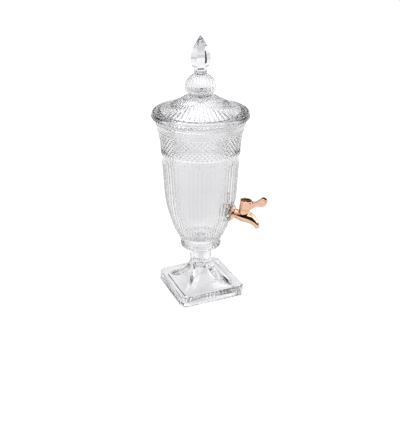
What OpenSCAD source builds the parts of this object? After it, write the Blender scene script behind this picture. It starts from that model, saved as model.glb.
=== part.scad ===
// Footed glass juice dispenser with a fluted bowl, a ribbed lid and a plug tap.
// Millimetres, +Z up, origin at the centre of the foot's underside, tap towards -Y.

/* [Foot and stem] */
// Side of the square foot
foot_side = 140; // [125:1:160]
// Thickness of the foot plate
foot_h = 22; // [18:1:26]
// Leg of the chamfer on each corner of the foot
foot_corner = 8.5; // [5:0.5:12]
// Bevel round the top edge of the plate
foot_arris = 2; // [1:0.5:4]
// Flat border between the plate's edge and the cove
foot_border = 8; // [5:0.5:12]
// Flutes pressed into each side of the plate
foot_flutes = 14; // [8:1:16]
// Depth of the plate's flutes
foot_flute_depth = 1.2; // [0.6:0.1:2]
// Glass above the hollow under the foot, measured upright
foot_skin = 18; // [14:1:24]
// Glass beside the hollow under the foot, measured level
foot_wall = 8; // [6:0.5:11]
// Half width of the eight-sided stem across its flats
stem_half = 20; // [16:0.5:24]
// Height of the stem's narrowest place
stem_z = 74; // [62:1:84]
// Height of the whole pedestal
pedestal_h = 100; // [92:1:115]
// Half width of the seat on top of the pedestal, across its flats
seat_half = 26; // [22:0.5:34]

/* [Bowl] */
// Radius of the collar under the bowl
collar_r = 42; // [38:0.5:48]
// Height of the collar
collar_h = 13; // [10:0.5:16]
// Scallops round the collar
collar_scallops = 30; // [20:1:40]
// Depth of the collar's scallops
scallop_depth = 1.6; // [0.8:0.1:2.5]
// Outer radius where the wall leaves the collar
base_r = 39; // [36:0.5:41]
// Outer radius of the belly
belly_r = 72.6; // [66:0.2:80]
// Height of the belly above the collar
belly_rise = 109; // [95:1:125]
// Outer radius where the flutes end
shoulder_r = 77; // [72:0.5:84]
// Height of the shoulder above the belly
shoulder_rise = 78; // [65:1:95]
// Outer radius of the lip
lip_r = 92.5; // [87:0.5:100]
// Height of the lip above the shoulder
flare_rise = 76; // [65:1:90]
// Wall thickness, measured level
wall = 6.2; // [4.5:0.1:7.5]
// Glass under the bowl's floor, above the collar
floor_t = 13; // [9:0.5:18]
// Rounding between the floor and the wall inside
floor_round = 9; // [5:0.5:14]
// Flutes round the bowl
flute_count = 52; // [36:2:60]
// Depth of the flutes
flute_depth = 0.8; // [0.6:0.1:1.8]
// How far the cut band stands out from the flutes
band_stand = 0.4; // [0.2:0.1:1]
// Diamonds round the cut band
diamond_count = 52; // [36:2:60]
// Half rows of diamonds up the band
diamond_rows = 9; // [5:2:11]
// Depth of the cuts between the diamonds
diamond_depth = 1.5; // [0.6:0.1:1.8]
// Height of the diamonds' lowest row above the shoulder
band_rise = 10; // [9:0.5:14]
// Height of the diamond-cut band
band_h = 40; // [32:1:48]
// Radius of the fine ring above the band
fine_ring_r = 1.4; // [1:0.1:2]
// Height of the fine ring above the band
fine_ring_rise = 2.6; // [2:0.1:4]
// Radius of the bead between the flutes and the band
bead_r = 2.8; // [2:0.1:4]
// Height of the bead above the shoulder
bead_rise = 5; // [4:0.5:8]

/* [Lid] */
// Outer radius of the lid
lid_r = 95; // [94:0.5:104]
// Height of the lid's rim
lid_rim_h = 12; // [9:0.5:15]
// How far the rim rounds in above and below
lid_rim_round = 2; // [1:0.25:3]
// Rise of the cone from the rim to the knop
lid_rise = 34; // [28:1:44]
// Thickness of the cone, measured upright
lid_wall = 6.5; // [5:0.25:8]
// Ribs round the lid
rib_count = 52; // [36:2:60]
// Depth between the ribs near the rim
rib_depth = 1.4; // [0.6:0.1:2]
// Radius of the cone where the knop sits
knop_root = 19; // [15:0.5:21]
// Depth of the locating ring below the seat
ring_depth = 9; // [6:0.5:12]
// Width of the locating ring
ring_w = 5; // [3.5:0.25:7]
// Gap between the locating ring and the bowl
ring_gap = 1.2; // [0.8:0.1:2]
// Largest radius of the knop
knop_r = 30.3; // [26:0.5:34]
// Height of the knop's middle above the cone
knop_lift = 10; // [8:0.5:12]
// Height of the knop above its middle
knop_up = 28; // [24:0.5:32]
// Depth of the knop below its middle
knop_down = 15.5; // [13:0.5:18]
// Ribs round the knop
knop_ribs = 22; // [16:2:28]
// Depth between the knop's ribs
knop_rib_depth = 2; // [0.6:0.1:2.4]

/* [Finial] */
// Radius of the neck under the finial
neck_r = 12; // [9:0.5:14]
// Height of the neck
neck_h = 5; // [4:0.5:7]
// Largest radius of the bud
bud_r = 18.6; // [16:0.2:22]
// Height of the bud's widest place above the neck
bud_belly = 18.5; // [15:0.5:22]
// Height from the widest place to the tip
bud_taper = 44; // [36:0.5:52]
// Radius of the blunt tip
bud_tip_r = 1.5; // [1:0.1:3]

/* [Tap seat] */
// Height of the tap hole above the pedestal
tap_rise = 83.5; // [75:0.5:105]
// Downward lean of the tap
tap_lean = 7.5; // [4:0.5:11]
// Radius of the smooth boss round the tap hole
boss_r = 18.5; // [16.5:0.5:22]
// How far the boss stands out from the wall at the tap's axis
boss_stand = 0.8; // [0.4:0.1:2]
// Glass left under the tap
boss_wall = 6; // [5:0.25:7]
// Radius of the threaded shank
shank_r = 8; // [7:0.25:8.5]
// Gap between the shank and the tap hole
hole_gap = 0.5; // [0.3:0.1:0.8]
// Outer radius of the wall washers
washer_r = 14; // [12.5:0.25:14.5]
// Thickness of the silicone washers
washer_t = 2; // [1.5:0.25:3]
// Thickness of the slip washer
slip_t = 1; // [0.8:0.1:1.5]
// Width of the lock nut across its flats
nut_flats = 24; // [21:0.5:26]
// Height of the lock nut
nut_h = 7; // [5:0.5:9]
// Length of shank past the nut
shank_past = 3; // [1:0.5:5]

/* [Tap body] */
// Radius of the wall flange
flange_r = 15; // [14:0.25:17]
// Depth of the wall flange from the washer to the neck
flange_t = 5; // [4:0.25:6]
// Radius of the rounded edge on the flange
flange_edge = 1.3; // [0.8:0.1:1.8]
// Radius of the body at the flange
throat_r = 9; // [8.75:0.25:10]
// Distance from the flange's back to the barrel's axis
hub_reach = 22.6; // [21:0.2:27]
// Radius of the body under the barrel
bulge_r = 12; // [11.5:0.25:13]
// Radius of the barrel
hub_r = 11.2; // [11:0.1:12]
// Height of the fixed barrel above the tap's axis
tower_h = 16.5; // [15:0.25:19]
// Straight run from the barrel's axis to the spout's bend
bend_start = 6; // [4:0.5:9]
// Radius of the spout's bend
bend_r = 29; // [25:0.5:34]
// Angle that the spout turns down
bend_angle = 58; // [45:1:62]
// Straight nose at the end of the spout
nose_l = 4; // [3:0.5:7]
// Outer radius of the spout's end
spout_r = 4.3; // [3.6:0.1:5]
// Radius of the waterway through the shank
inlet_r = 4.5; // [3.5:0.25:5]
// Radius of the waterway through the spout
outlet_r = 2.6; // [2:0.1:2.8]

/* [Valve] */
// Radius of the valve plug
plug_r = 7; // [6.75:0.05:7.5]
// Running gap round the plug
plug_gap = 0.05; // [0.03:0.01:0.08]
// End gap under and over the plug
end_gap = 0.15; // [0.1:0.05:0.3]
// Depth of the plug below the tap's axis
plug_drop = 8.8; // [8.4:0.1:9.4]
// Radius of the plug's cross port
port_r = 3.4; // [2.5:0.1:3.6]
// Thickness of an O-ring
o_ring_d = 1.5; // [1:0.1:1.8]
// Distance of the O-rings from the tap's axis
o_ring_z = 6.6; // [6:0.1:7]
// Height of the bonnet nut
bonnet_h = 4; // [3:0.25:5]
// Outer radius of the bonnet nut
bonnet_r = 9; // [8.6:0.1:9.4]
// Gap round the bonnet nut's thread
thread_gap = 0.08; // [0.05:0.01:0.12]
// Side of the plug's square drive
drive_side = 7; // [6:0.1:7.4]
// Height of the square drive above the bonnet nut
drive_h = 9; // [7:0.5:11]
// Gap round the square drive
drive_gap = 0.06; // [0.04:0.01:0.1]

/* [Handle] */
// Thickness of the friction washer
friction_t = 0.8; // [0.6:0.1:1.2]
// How far the friction washer sits inside the barrel's edge
friction_inset = 0.6; // [0.4:0.1:1]
// Height of the turning barrel
handle_h = 18; // [16.5:0.25:21]
// How much wider the barrel is at its top
handle_flare = 0.4; // [0:0.1:0.8]
// Rim left round the barrel's recessed top
recess_rim = 1.9; // [1.4:0.1:2.6]
// Depth of the recessed top
recess_h = 5; // [4:0.25:5.5]
// Height of the lever's root on the barrel
lever_z = 9; // [8.5:0.25:10.5]
// Upward slope of the lever
lever_slope = 33; // [28:1:36]
// Width of the lever between its flat sides
lever_w = 11; // [9:0.5:13]
// Half height of the lever at the barrel
lever_root_r = 6.5; // [6:0.1:7]
// Half height of the lever's waist
lever_waist_r = 5; // [4:0.1:5.8]
// Distance from the barrel to the lever's waist
lever_waist = 14; // [12:0.5:17]
// Radius of the lever's rounded end
knob_r = 8.2; // [7:0.1:9.5]
// Distance from the barrel to the middle of the rounded end
lever_l = 27.5; // [25:0.5:32]
// Radius of the handle screw's thread
screw_r = 2; // [1.5:0.1:2.2]
// Radius of the handle screw's head
screw_head_r = 3.9; // [3.4:0.1:4.6]
// Height of the handle screw's head
screw_head_h = 2.4; // [1.8:0.1:2.8]
// Length of the handle screw under its head
screw_l = 12; // [9:0.5:13]

/* [Hidden] */

$fn = 72;
glass = [0.86, 0.92, 0.94, 0.45];
rose_gold = [0.84, 0.62, 0.49];
silicone = [0.93, 0.93, 0.92];
dark_rubber = [0.12, 0.12, 0.12];
nylon = [0.9, 0.88, 0.82];

// Steepness of the bowl's wall at its four stations, out over up
base_slope = 0.56;
belly_slope = 0.06;
shoulder_slope = 0.07;
lip_slope = 0.5;
// Hollowness of the lid's cone and steepness of the finial at its neck and tip
cone_power = 1.4;
bud_neck_slope = 0.6;
bud_tip_slope = -0.75;
// Points across one flute, and the rows and sides of the swept forms
scoop_points = 4;
wall_rows = 8;
cone_rows = 6;
knop_rows = 8;
bud_rows = 10;
cove_steps = 10;
swept_sides = 24;
swept_rings = 14;
// Length over which the bowl's flutes run out below the shoulder, and the depth left two thirds up it
flute_fade = 8;
flute_fade_share = 0.7;
// Share of a foot flute's pitch that the flute itself takes
flute_share = 0.82;
// Steepness of the spout at its end and of the lever at its root, out over along
spout_slope = -0.24;
lever_root_slope = -0.3;
// Share of the screw head's width that its cross recess takes
cross_share = 0.7;
// Glass left under the cuts between the diamonds, and how far the band's ends lie under the wall
band_bed = 0.3;
// Depth of cuts past a face, so that no skin is left
past = 1;

z_bowl = pedestal_h;
z_wall = z_bowl + collar_h;
z_belly = z_wall + belly_rise;
z_shoulder = z_belly + shoulder_rise;
z_rim = z_shoulder + flare_rise;
z_band = z_shoulder + band_rise;
z_fine_ring = z_band + band_h + fine_ring_rise;
z_floor = z_wall + floor_t;
z_lid_rim = z_rim + lid_rim_h;
z_cone_top = z_lid_rim + lid_rise;
z_knop = z_cone_top + knop_lift;
z_neck = z_knop + knop_up + past;
z_bud = z_neck + neck_h;

foot_half = foot_side/2;
cove_half = foot_half - foot_border;
lid_edge = lid_r - lid_rim_round;

z_tap = z_bowl + tap_rise;
tap_out = bowl_r(z_tap) + boss_stand;
hub_y = washer_t + hub_reach;
flange_front = washer_t + flange_t;
slip_y = -boss_wall - washer_t;
nut_y = slip_y - slip_t;
shank_end = nut_y - nut_h - shank_past;
hole_r = shank_r + hole_gap;
seat_cut_r = max(washer_r, nut_flats/sqrt(3)) + hole_gap;
socket_r = plug_r + plug_gap;
socket_floor = -plug_drop - end_gap;
bonnet_z = tower_h - bonnet_h;
drive_top = tower_h + drive_h;
handle_z = tower_h + friction_t;
handle_top = handle_z + handle_h;
recess_floor = handle_top - recess_h;
recess_r = hub_r - recess_rim;
lever_side = sqrt(hub_r*hub_r - lever_w*lever_w/4);
lever_bury = (hub_r - lever_side + lever_root_r*sin(lever_slope))/cos(lever_slope) + end_gap;
groove_r = plug_r - o_ring_d - plug_gap;
bend_end_l = bend_r*bend_angle*PI/180;
horn_l = hub_reach - flange_t + bend_start + bend_end_l + nose_l;

// Cubic between two radii with a given steepness at each end, t from 0 to 1 over the height h
function blend(t, h, r0, s0, r1, s1) =
    (2*t*t*t - 3*t*t + 1)*r0 + (t*t*t - 2*t*t + t)*h*s0
    + (3*t*t - 2*t*t*t)*r1 + (t*t*t - t*t)*h*s1;

// Outer radius of the bowl at the height z
function bowl_r(z) =
    z < z_belly
        ? blend((z - z_wall)/belly_rise, belly_rise, base_r, base_slope, belly_r, belly_slope)
    : z < z_shoulder
        ? blend((z - z_belly)/shoulder_rise, shoulder_rise, belly_r, belly_slope, shoulder_r, shoulder_slope)
    : blend((z - z_shoulder)/flare_rise, flare_rise, shoulder_r, shoulder_slope, lip_r, lip_slope);

// Outer radius of the cut band and the lip, a little outside the bowl's own line near the bead
function band_r(z) = bowl_r(z) + band_stand*(z_rim - z)/(z_rim - z_shoulder);

// Inner radius of the bowl at the height z, rounded into the floor
function cavity_r(z) =
    let (up = min(z - z_floor, floor_round), rest = floor_round - up)
    bowl_r(z) - wall - floor_round + sqrt(floor_round*floor_round - rest*rest);

// Height of the lid's cone at the radius r
function lid_z(r) = z_lid_rim + lid_rise*pow((lid_edge - r)/(lid_edge - knop_root), cone_power);

// Depth of a hollow scoop at step i of its points, from 0 on the ridge to 1 in the middle
function scoop(i) = let (f = 2*(i % scoop_points)/scoop_points - 1) 1 - f*f;

// Closed solid turned about Z and scooped all round; each row is [radius on the ridges, height, scoop depth],
// and a negative depth makes lobes that stand out from the valleys' radius
module scooped(rows, count) {
    n = count*scoop_points;
    top = len(rows) - 1;
    points = [
        for (row = rows) for (i = [0 : n - 1])
            let (a = 360*i/n, r = row[0] - row[2]*scoop(i)) [r*cos(a), r*sin(a), row[1]]
    ];
    sides = [
        for (j = [0 : top - 1]) for (i = [0 : n - 1])
            let (k = (i + 1) % n, a = j*n + i, b = a + n, c = (j + 1)*n + k, d = j*n + k)
            each [[a, b, c], [a, c, d]]
    ];
    polyhedron(points, concat([[for (i = [0 : n - 1]) i]], sides, [[for (i = [n - 1 : -1 : 0]) top*n + i]]));
}

// Closed tube through rings in the plane x = 0; each ring is [y, z, downward angle, radius]
module swept(rings) {
    n = swept_sides;
    top = len(rings) - 1;
    points = [
        for (ring = rings) for (i = [0 : n - 1])
            let (a = 360*i/n, up = ring[3]*sin(a))
            [ring[3]*cos(a), ring[0] + up*sin(ring[2]), ring[1] + up*cos(ring[2])]
    ];
    sides = [
        for (j = [0 : top - 1]) for (i = [0 : n - 1])
            let (k = (i + 1) % n, a = j*n + i, b = j*n + k, c = (j + 1)*n + k, d = a + n)
            each [[a, b, c], [a, c, d]]
    ];
    polyhedron(points, concat([[for (i = [n - 1 : -1 : 0]) i]], sides, [[for (i = [0 : n - 1]) top*n + i]]));
}

// Ring or tube about Z
module ring(outer, inner, h) {
    difference() {
        cylinder(r = outer, h = h);
        translate([0, 0, -past]) cylinder(r = inner, h = h + 2*past);
    }
}

// Places its children on the boss face, with the tap's own Y outwards and Z up
module at_tap() {
    translate([0, -tap_out, z_tap]) rotate([tap_lean, 0, 0]) rotate([0, 0, 180]) children();
}

// Turns what is built along Z to run along the tap's axis from y
module along_tap(y) {
    translate([0, y, 0]) rotate([-90, 0, 0]) children();
}

// Places its children on the barrel's axis
module at_hub(z) {
    at_tap() translate([0, hub_y, z]) children();
}

// Outline of the pedestal seen along one pair of its faces
function pedestal_outline(plate, cove) =
    let (
        half = concat(
            [[plate, 0], [plate, foot_h - foot_arris], [plate - foot_arris, foot_h]],
            [for (k = [0 : cove_steps]) let (a = 90*k/cove_steps)
                [cove - (cove - stem_half)*sin(a), stem_z - (stem_z - foot_h)*cos(a)]],
            [for (k = [1 : cove_steps]) let (t = k/cove_steps)
                [stem_half + (seat_half - stem_half)*t*t, stem_z + (pedestal_h - stem_z)*t]]
        )
    )
    concat(half, [for (k = [len(half) - 1 : -1 : 0]) [-half[k][0], half[k][1]]]);

// Distance from the axis to the chamfer on the corner of a square of that half side
function corner_half(half) = (2*half - foot_corner)/sqrt(2);

// Outline of the hollow under the foot, whose walls follow the cove
function hollow_outline(cove) =
    let (
        half = concat(
            [[cove - foot_wall, -past]],
            [for (k = [0 : cove_steps]) let (a = 90*k/cove_steps) [
                cove - foot_wall - (cove - stem_half)*sin(a),
                stem_z - foot_skin - (stem_z - foot_h)*cos(a)
            ]]
        )
    )
    concat(half, [for (k = [len(half) - 1 : -1 : 0]) [-half[k][0], half[k][1]]]);

// Eight-sided solid with one outline across its sides and another across its corners
module eight_sided(side, corner) {
    module slab(outline) {
        rotate([90, 0, 0]) linear_extrude(height = 2*foot_side, center = true) polygon(outline);
    }
    intersection() {
        slab(side);
        rotate([0, 0, 90]) slab(side);
        rotate([0, 0, 45]) slab(corner);
        rotate([0, 0, -45]) slab(corner);
    }
}

// Round flutes down the four sides of the plate
module plate_flutes() {
    pitch = (foot_side - 2*foot_corner)/foot_flutes;
    chord = flute_share*pitch;
    flute_r = (chord*chord/4 + foot_flute_depth*foot_flute_depth)/(2*foot_flute_depth);
    for (side = [0 : 3]) rotate([0, 0, 90*side]) for (i = [0 : foot_flutes - 1])
        translate([foot_half - foot_flute_depth + flute_r, (i - (foot_flutes - 1)/2)*pitch, -past])
            cylinder(r = flute_r, h = foot_h + 2*past, $fn = 24);
}

module pedestal() {
    color(glass) rotate([0, 0, 45]) difference() {
        eight_sided(
            pedestal_outline(foot_half, cove_half),
            pedestal_outline(corner_half(foot_half), corner_half(cove_half))
        );
        eight_sided(hollow_outline(cove_half), hollow_outline(corner_half(cove_half)));
        plate_flutes();
    }
}

// Rounded collar with scallops, under the bowl
module collar() {
    round_r = collar_h/2;
    scallop_r = PI*collar_r/collar_scallops;
    difference() {
        translate([0, 0, z_bowl]) rotate_extrude() {
            square([collar_r - round_r, collar_h]);
            intersection() {
                translate([collar_r - round_r, round_r]) circle(r = round_r);
                square([collar_r, collar_h]);
            }
        }
        for (i = [0 : collar_scallops - 1]) rotate([0, 0, 360*(i + 0.5)/collar_scallops])
            translate([collar_r - scallop_depth + scallop_r, 0, z_bowl - past])
                cylinder(r = scallop_r, h = collar_h + 2*past, $fn = 24);
    }
}

// Fluted lower wall, solid
module fluted_wall() {
    low = z_wall - past;
    high = z_shoulder - flute_fade;
    rows = concat(
        [for (k = [0 : wall_rows]) let (z = low + (high - low)*k/wall_rows)
            [bowl_r(z), z, flute_depth*bowl_r(z)/belly_r]],
        [[bowl_r(z_shoulder - flute_fade/3), z_shoulder - flute_fade/3, flute_depth*flute_fade_share],
         [bowl_r(z_shoulder), z_shoulder + past, 0]]
    );
    scooped(rows, flute_count);
}

// Plain wall and flared lip, solid, with a bead under the band, a ring over it and a bed for the diamonds
module plain_wall() {
    low = z_shoulder - past;
    bed = diamond_depth + band_bed;
    rotate_extrude() union() {
        polygon(concat(
            [[0, z_rim], [0, low], [band_r(low), low], [band_r(z_band), z_band]],
            [for (k = [0 : cove_steps]) let (z = z_band + band_h*k/cove_steps) [band_r(z) - bed, z]],
            [for (k = [0 : cove_steps]) let (z = z_band + band_h + (z_rim - z_band - band_h)*k/cove_steps)
                [band_r(z), z]]
        ));
        translate([bowl_r(z_shoulder + bead_rise) - bead_r + 2*band_stand, z_shoulder + bead_rise])
            circle(r = bead_r);
        translate([band_r(z_fine_ring) - fine_ring_r/2, z_fine_ring]) circle(r = fine_ring_r);
    }
}

// Diamond-cut band, solid: points and crossings of the cuts take turns round each row
module diamond_band() {
    n = 2*diamond_count;
    points = [
        for (j = [0 : diamond_rows]) let (
            edge = j == 0 ? -1 : j == diamond_rows ? 1 : 0,
            z = z_band + band_h*j/diamond_rows + band_bed*edge
        )
        for (i = [0 : n - 1]) let (
            low = edge != 0 || (i + j) % 2 == 0,
            r = band_r(z) - (low ? diamond_depth : 0),
            a = 360*i/n
        )
        [r*cos(a), r*sin(a), z]
    ];
    sides = [
        for (j = [0 : diamond_rows - 1]) for (i = [0 : n - 1]) let (
            k = (i + 1) % n,
            a = j*n + i,
            b = a + n,
            c = (j + 1)*n + k,
            d = j*n + k
        )
        each (i + j) % 2 == 0 ? [[a, b, c], [a, c, d]] : [[a, b, d], [b, c, d]]
    ];
    polyhedron(points, concat(
        [[for (i = [0 : n - 1]) i]],
        sides,
        [[for (i = [n - 1 : -1 : 0]) diamond_rows*n + i]]
    ));
}

// Smooth boss round the tap hole
module boss() {
    at_tap() along_tap(-boss_wall) cylinder(r = boss_r, h = boss_wall);
}

// Room inside the bowl, open at the lip
module bowl_room() {
    steps = 2*cove_steps;
    rotate_extrude() polygon(concat(
        [[0, z_rim + past], [0, z_floor]],
        [for (k = [0 : cove_steps]) let (z = z_floor + floor_round*k/cove_steps) [cavity_r(z), z]],
        [for (k = [1 : steps]) let (z = z_floor + floor_round + (z_rim - z_floor - floor_round)*k/steps)
            [cavity_r(z), z]],
        [[bowl_r(z_rim) - wall, z_rim + past]]
    ));
}

module bowl() {
    color(glass) difference() {
        union() {
            fluted_wall();
            plain_wall();
            diamond_band();
            collar();
            boss();
        }
        bowl_room();
        at_tap() {
            along_tap(shank_end) cylinder(r = hole_r, h = -shank_end + past);
            along_tap(shank_end) cylinder(r = seat_cut_r, h = -shank_end - boss_wall);
        }
    }
}

// Cone of the lid, whose ribs run out at its plain rim, solid
module ribbed_cone() {
    rim_steps = 4;
    rows = concat(
        [for (k = [0 : rim_steps]) let (f = 2*k/rim_steps - 1)
            [lid_r - lid_rim_round*f*f, z_rim + lid_rim_h*k/rim_steps, 0]],
        [for (k = [1 : cone_rows]) let (
            r = lid_edge - (lid_edge - knop_root)*k/cone_rows,
            depth = rib_depth*r/lid_r
        ) [r - depth, lid_z(r), -depth]]
    );
    scooped(rows, rib_count);
}

// Melon-ribbed knop with its plain neck
module knop() {
    rows = [
        for (k = [1 : knop_rows - 1]) let (
            a = 180*k/knop_rows - 90,
            tall = a < 0 ? knop_down : knop_up
        ) [(knop_r - knop_rib_depth)*cos(a), z_knop + tall*sin(a), -knop_rib_depth*cos(a)]
    ];
    scooped(rows, knop_ribs);
    translate([0, 0, z_knop]) cylinder(r = neck_r, h = z_neck - z_knop);
}

// Room under the lid's cone
module lid_room(room_r) {
    low = z_rim - ring_depth - past;
    rotate_extrude() polygon(concat(
        [[0, lid_z(knop_root) - lid_wall], [0, low], [room_r, low]],
        [for (k = [0 : cone_rows]) let (r = room_r - (room_r - knop_root)*k/cone_rows)
            [r, lid_z(r) - lid_wall]]
    ));
}

module lid() {
    ring_r = cavity_r(z_rim - ring_depth) - ring_gap;
    color(glass) difference() {
        union() {
            ribbed_cone();
            knop();
            translate([0, 0, z_rim - ring_depth]) cylinder(r = ring_r, h = ring_depth + past);
        }
        lid_room(ring_r - ring_w);
    }
}

module finial() {
    z_low = z_bud + past;
    z_wide = z_bud + bud_belly;
    swell = z_wide - z_low;
    rows = concat(
        [for (k = [0 : bud_rows]) let (t = k/bud_rows)
            [blend(t, swell, neck_r, bud_neck_slope, bud_r, 0), z_low + swell*t]],
        [for (k = [1 : bud_rows]) let (t = k/bud_rows)
            [blend(t, bud_taper, bud_r, 0, bud_tip_r, bud_tip_slope), z_wide + bud_taper*t]]
    );
    color(glass) {
        translate([0, 0, z_neck]) cylinder(r = neck_r, h = neck_h + 2*past);
        rotate_extrude($fn = 6) polygon(concat([[0, z_wide + bud_taper], [0, z_low]], rows));
    }
}

// Horn that swells under the barrel and tapers round the bend to the spout's end
module horn() {
    rise_l = hub_reach - flange_t;
    bend_from = rise_l + bend_start;
    rings = [
        for (k = [0 : swept_rings]) let (
            s = horn_l*k/swept_rings,
            turn = min(max(s - bend_from, 0)/bend_end_l, 1)*bend_angle,
            nose = max(s - bend_from - bend_end_l, 0),
            r = s < rise_l
                ? blend(s/rise_l, rise_l, throat_r, 0, bulge_r, 0)
                : blend((s - rise_l)/(horn_l - rise_l), horn_l - rise_l, bulge_r, 0, spout_r, spout_slope)
        )
        [flange_front + min(s, bend_from) + bend_r*sin(turn) + nose*cos(turn),
         bend_r*(cos(turn) - 1) - nose*sin(turn), turn, r]
    ];
    swept(rings);
}

// Waterway from the socket to the spout's end, drilled along the two straights of the bend
module outlet() {
    corner_l = bend_r*tan(bend_angle/2);
    along_tap(hub_y + port_r) cylinder(r = port_r, h = bend_start + corner_l - port_r);
    translate([0, hub_y + bend_start + corner_l, 0]) rotate([-90 - bend_angle, 0, 0])
        translate([0, 0, -outlet_r/2]) cylinder(r = outlet_r, h = corner_l + nose_l + past + outlet_r/2);
}

module tap_body() {
    color(rose_gold) at_tap() difference() {
        union() {
            along_tap(shank_end) cylinder(r = shank_r, h = flange_front - shank_end + past);
            horn();
            translate([0, hub_y, 0]) cylinder(r = hub_r, h = tower_h);
        }
        along_tap(shank_end - past) cylinder(r = inlet_r, h = hub_y - shank_end - port_r);
        translate([0, hub_y, socket_floor]) cylinder(r = socket_r, h = tower_h - socket_floor + past);
        translate([0, hub_y, bonnet_z]) cylinder(r = bonnet_r + thread_gap, h = bonnet_h + past);
        outlet();
    }
}

module wall_flange() {
    color(rose_gold) at_tap() along_tap(washer_t) difference() {
        rotate_extrude() {
            square([flange_r - flange_edge, 2*flange_edge]);
            translate([flange_r - flange_edge, flange_edge]) circle(r = flange_edge);
            polygon([[0, 0], [flange_r - 2*flange_edge, 0], [flange_r - 2*flange_edge, 2*flange_edge],
                     [throat_r + flange_edge, flange_t], [0, flange_t]]);
        }
        translate([0, 0, -past]) cylinder(r = shank_r + thread_gap, h = flange_t + 2*past);
    }
}

module outer_washer() {
    color(silicone) at_tap() along_tap(0) ring(washer_r, shank_r + thread_gap, washer_t);
}

module inner_washer() {
    color(silicone) at_tap() along_tap(slip_y) ring(washer_r, shank_r + thread_gap, washer_t);
}

module slip_washer() {
    color(nylon) at_tap() along_tap(nut_y) ring(washer_r, shank_r + thread_gap, slip_t);
}

module lock_nut() {
    color(nylon) at_tap() along_tap(nut_y - nut_h) difference() {
        cylinder(r = nut_flats/sqrt(3), h = nut_h, $fn = 6);
        translate([0, 0, -past]) cylinder(r = shank_r + thread_gap, h = nut_h + 2*past);
    }
}

// Grooved and cross-drilled plug with its square drive
module valve_plug() {
    shoulder = bonnet_z - end_gap;
    color(nylon) at_hub(0) difference() {
        union() {
            translate([0, 0, -plug_drop]) cylinder(r = plug_r, h = shoulder + plug_drop);
            translate([-drive_side/2, -drive_side/2, shoulder - past])
                cube([drive_side, drive_side, drive_top - shoulder + past]);
        }
        rotate([0, 90, 0]) cylinder(r = port_r, h = 4*plug_r, center = true);
        for (side = [-1, 1]) translate([0, 0, side*o_ring_z - o_ring_d/2 - plug_gap])
            ring(plug_r + past, groove_r, o_ring_d + 2*plug_gap);
        translate([0, 0, recess_floor - screw_l - end_gap])
            cylinder(r = screw_r + thread_gap, h = screw_l + end_gap);
    }
}

module plug_o_rings() {
    color(dark_rubber) at_hub(0) for (side = [-1, 1]) translate([0, 0, side*o_ring_z])
        rotate_extrude() translate([plug_r - o_ring_d/2, 0]) circle(r = o_ring_d/2);
}

// Threaded ring over the plug, with two slots for a pin key
module bonnet_nut() {
    slot_w = bonnet_h/2;
    color(rose_gold) at_hub(bonnet_z) difference() {
        ring(bonnet_r, drive_side/sqrt(2) + end_gap, bonnet_h);
        translate([-bonnet_r - past, -slot_w/2, bonnet_h - slot_w/2])
            cube([2*(bonnet_r + past), slot_w, slot_w]);
    }
}

module friction_washer() {
    color(nylon) at_hub(tower_h) ring(hub_r - friction_inset, drive_side/sqrt(2) + end_gap, friction_t);
}

// Flat-sided lever that narrows to a waist and swells to a rounded end
module lever() {
    cap_steps = 12;
    swell = lever_l - lever_waist;
    upper = [
        for (k = [0 : swept_rings]) let (
            s = lever_l*k/swept_rings,
            r = s < lever_waist
                ? blend(s/lever_waist, lever_waist, lever_root_r, lever_root_slope, lever_waist_r, 0)
                : blend((s - lever_waist)/swell, swell, lever_waist_r, 0, knob_r, 0)
        )
        [s, r]
    ];
    cap = [
        for (k = [1 : cap_steps - 1]) let (a = 180*k/cap_steps)
            [lever_l + knob_r*sin(a), knob_r*cos(a)]
    ];
    lower = [for (k = [swept_rings : -1 : 0]) [upper[k][0], -upper[k][1]]];
    translate([0, hub_r, lever_z]) rotate([lever_slope, 0, 0]) rotate([90, 0, 90])
        linear_extrude(height = lever_w, center = true) polygon(concat(
            [[-lever_bury, -lever_root_r], [-lever_bury, lever_root_r]], upper, cap, lower
        ));
}

module lever_handle() {
    color(rose_gold) at_hub(handle_z) difference() {
        union() {
            cylinder(r1 = hub_r, r2 = hub_r + handle_flare, h = handle_h);
            lever();
        }
        translate([0, 0, handle_h - recess_h]) cylinder(r = recess_r, h = recess_h + past);
        translate([-drive_side/2 - drive_gap, -drive_side/2 - drive_gap, -past])
            cube([drive_side + 2*drive_gap, drive_side + 2*drive_gap, drive_top - handle_z + end_gap + past]);
        cylinder(r = screw_r + thread_gap, h = handle_h);
    }
}

module handle_screw() {
    slot_w = screw_head_r/3;
    color(rose_gold) at_hub(recess_floor) difference() {
        union() {
            cylinder(r = screw_head_r, h = screw_head_h);
            translate([0, 0, -screw_l]) cylinder(r = screw_r, h = screw_l + past);
        }
        for (turn = [45, 135]) rotate([0, 0, turn])
            translate([-cross_share*screw_head_r, -slot_w/2, screw_head_h/2])
                cube([2*cross_share*screw_head_r, slot_w, screw_head_h]);
    }
}

bowl();
pedestal();
lid();
finial();
tap_body();
wall_flange();
outer_washer();
inner_washer();
slip_washer();
lock_nut();
valve_plug();
plug_o_rings();
bonnet_nut();
friction_washer();
lever_handle();
handle_screw();
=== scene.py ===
"""Looks of a footed glass juice dispenser: fluted bowl, ribbed lid, bud finial and rose-gold tap.

Sizes are in millimetres, as a glassmaker's drawing gives them, and meshes are built in metres.
"""

import logging
import math
from dataclasses import dataclass, field
from enum import Enum
from typing import Callable, Sequence, Union

import bmesh
import bpy
import numpy as np
from mathutils import Matrix, Vector


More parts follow.
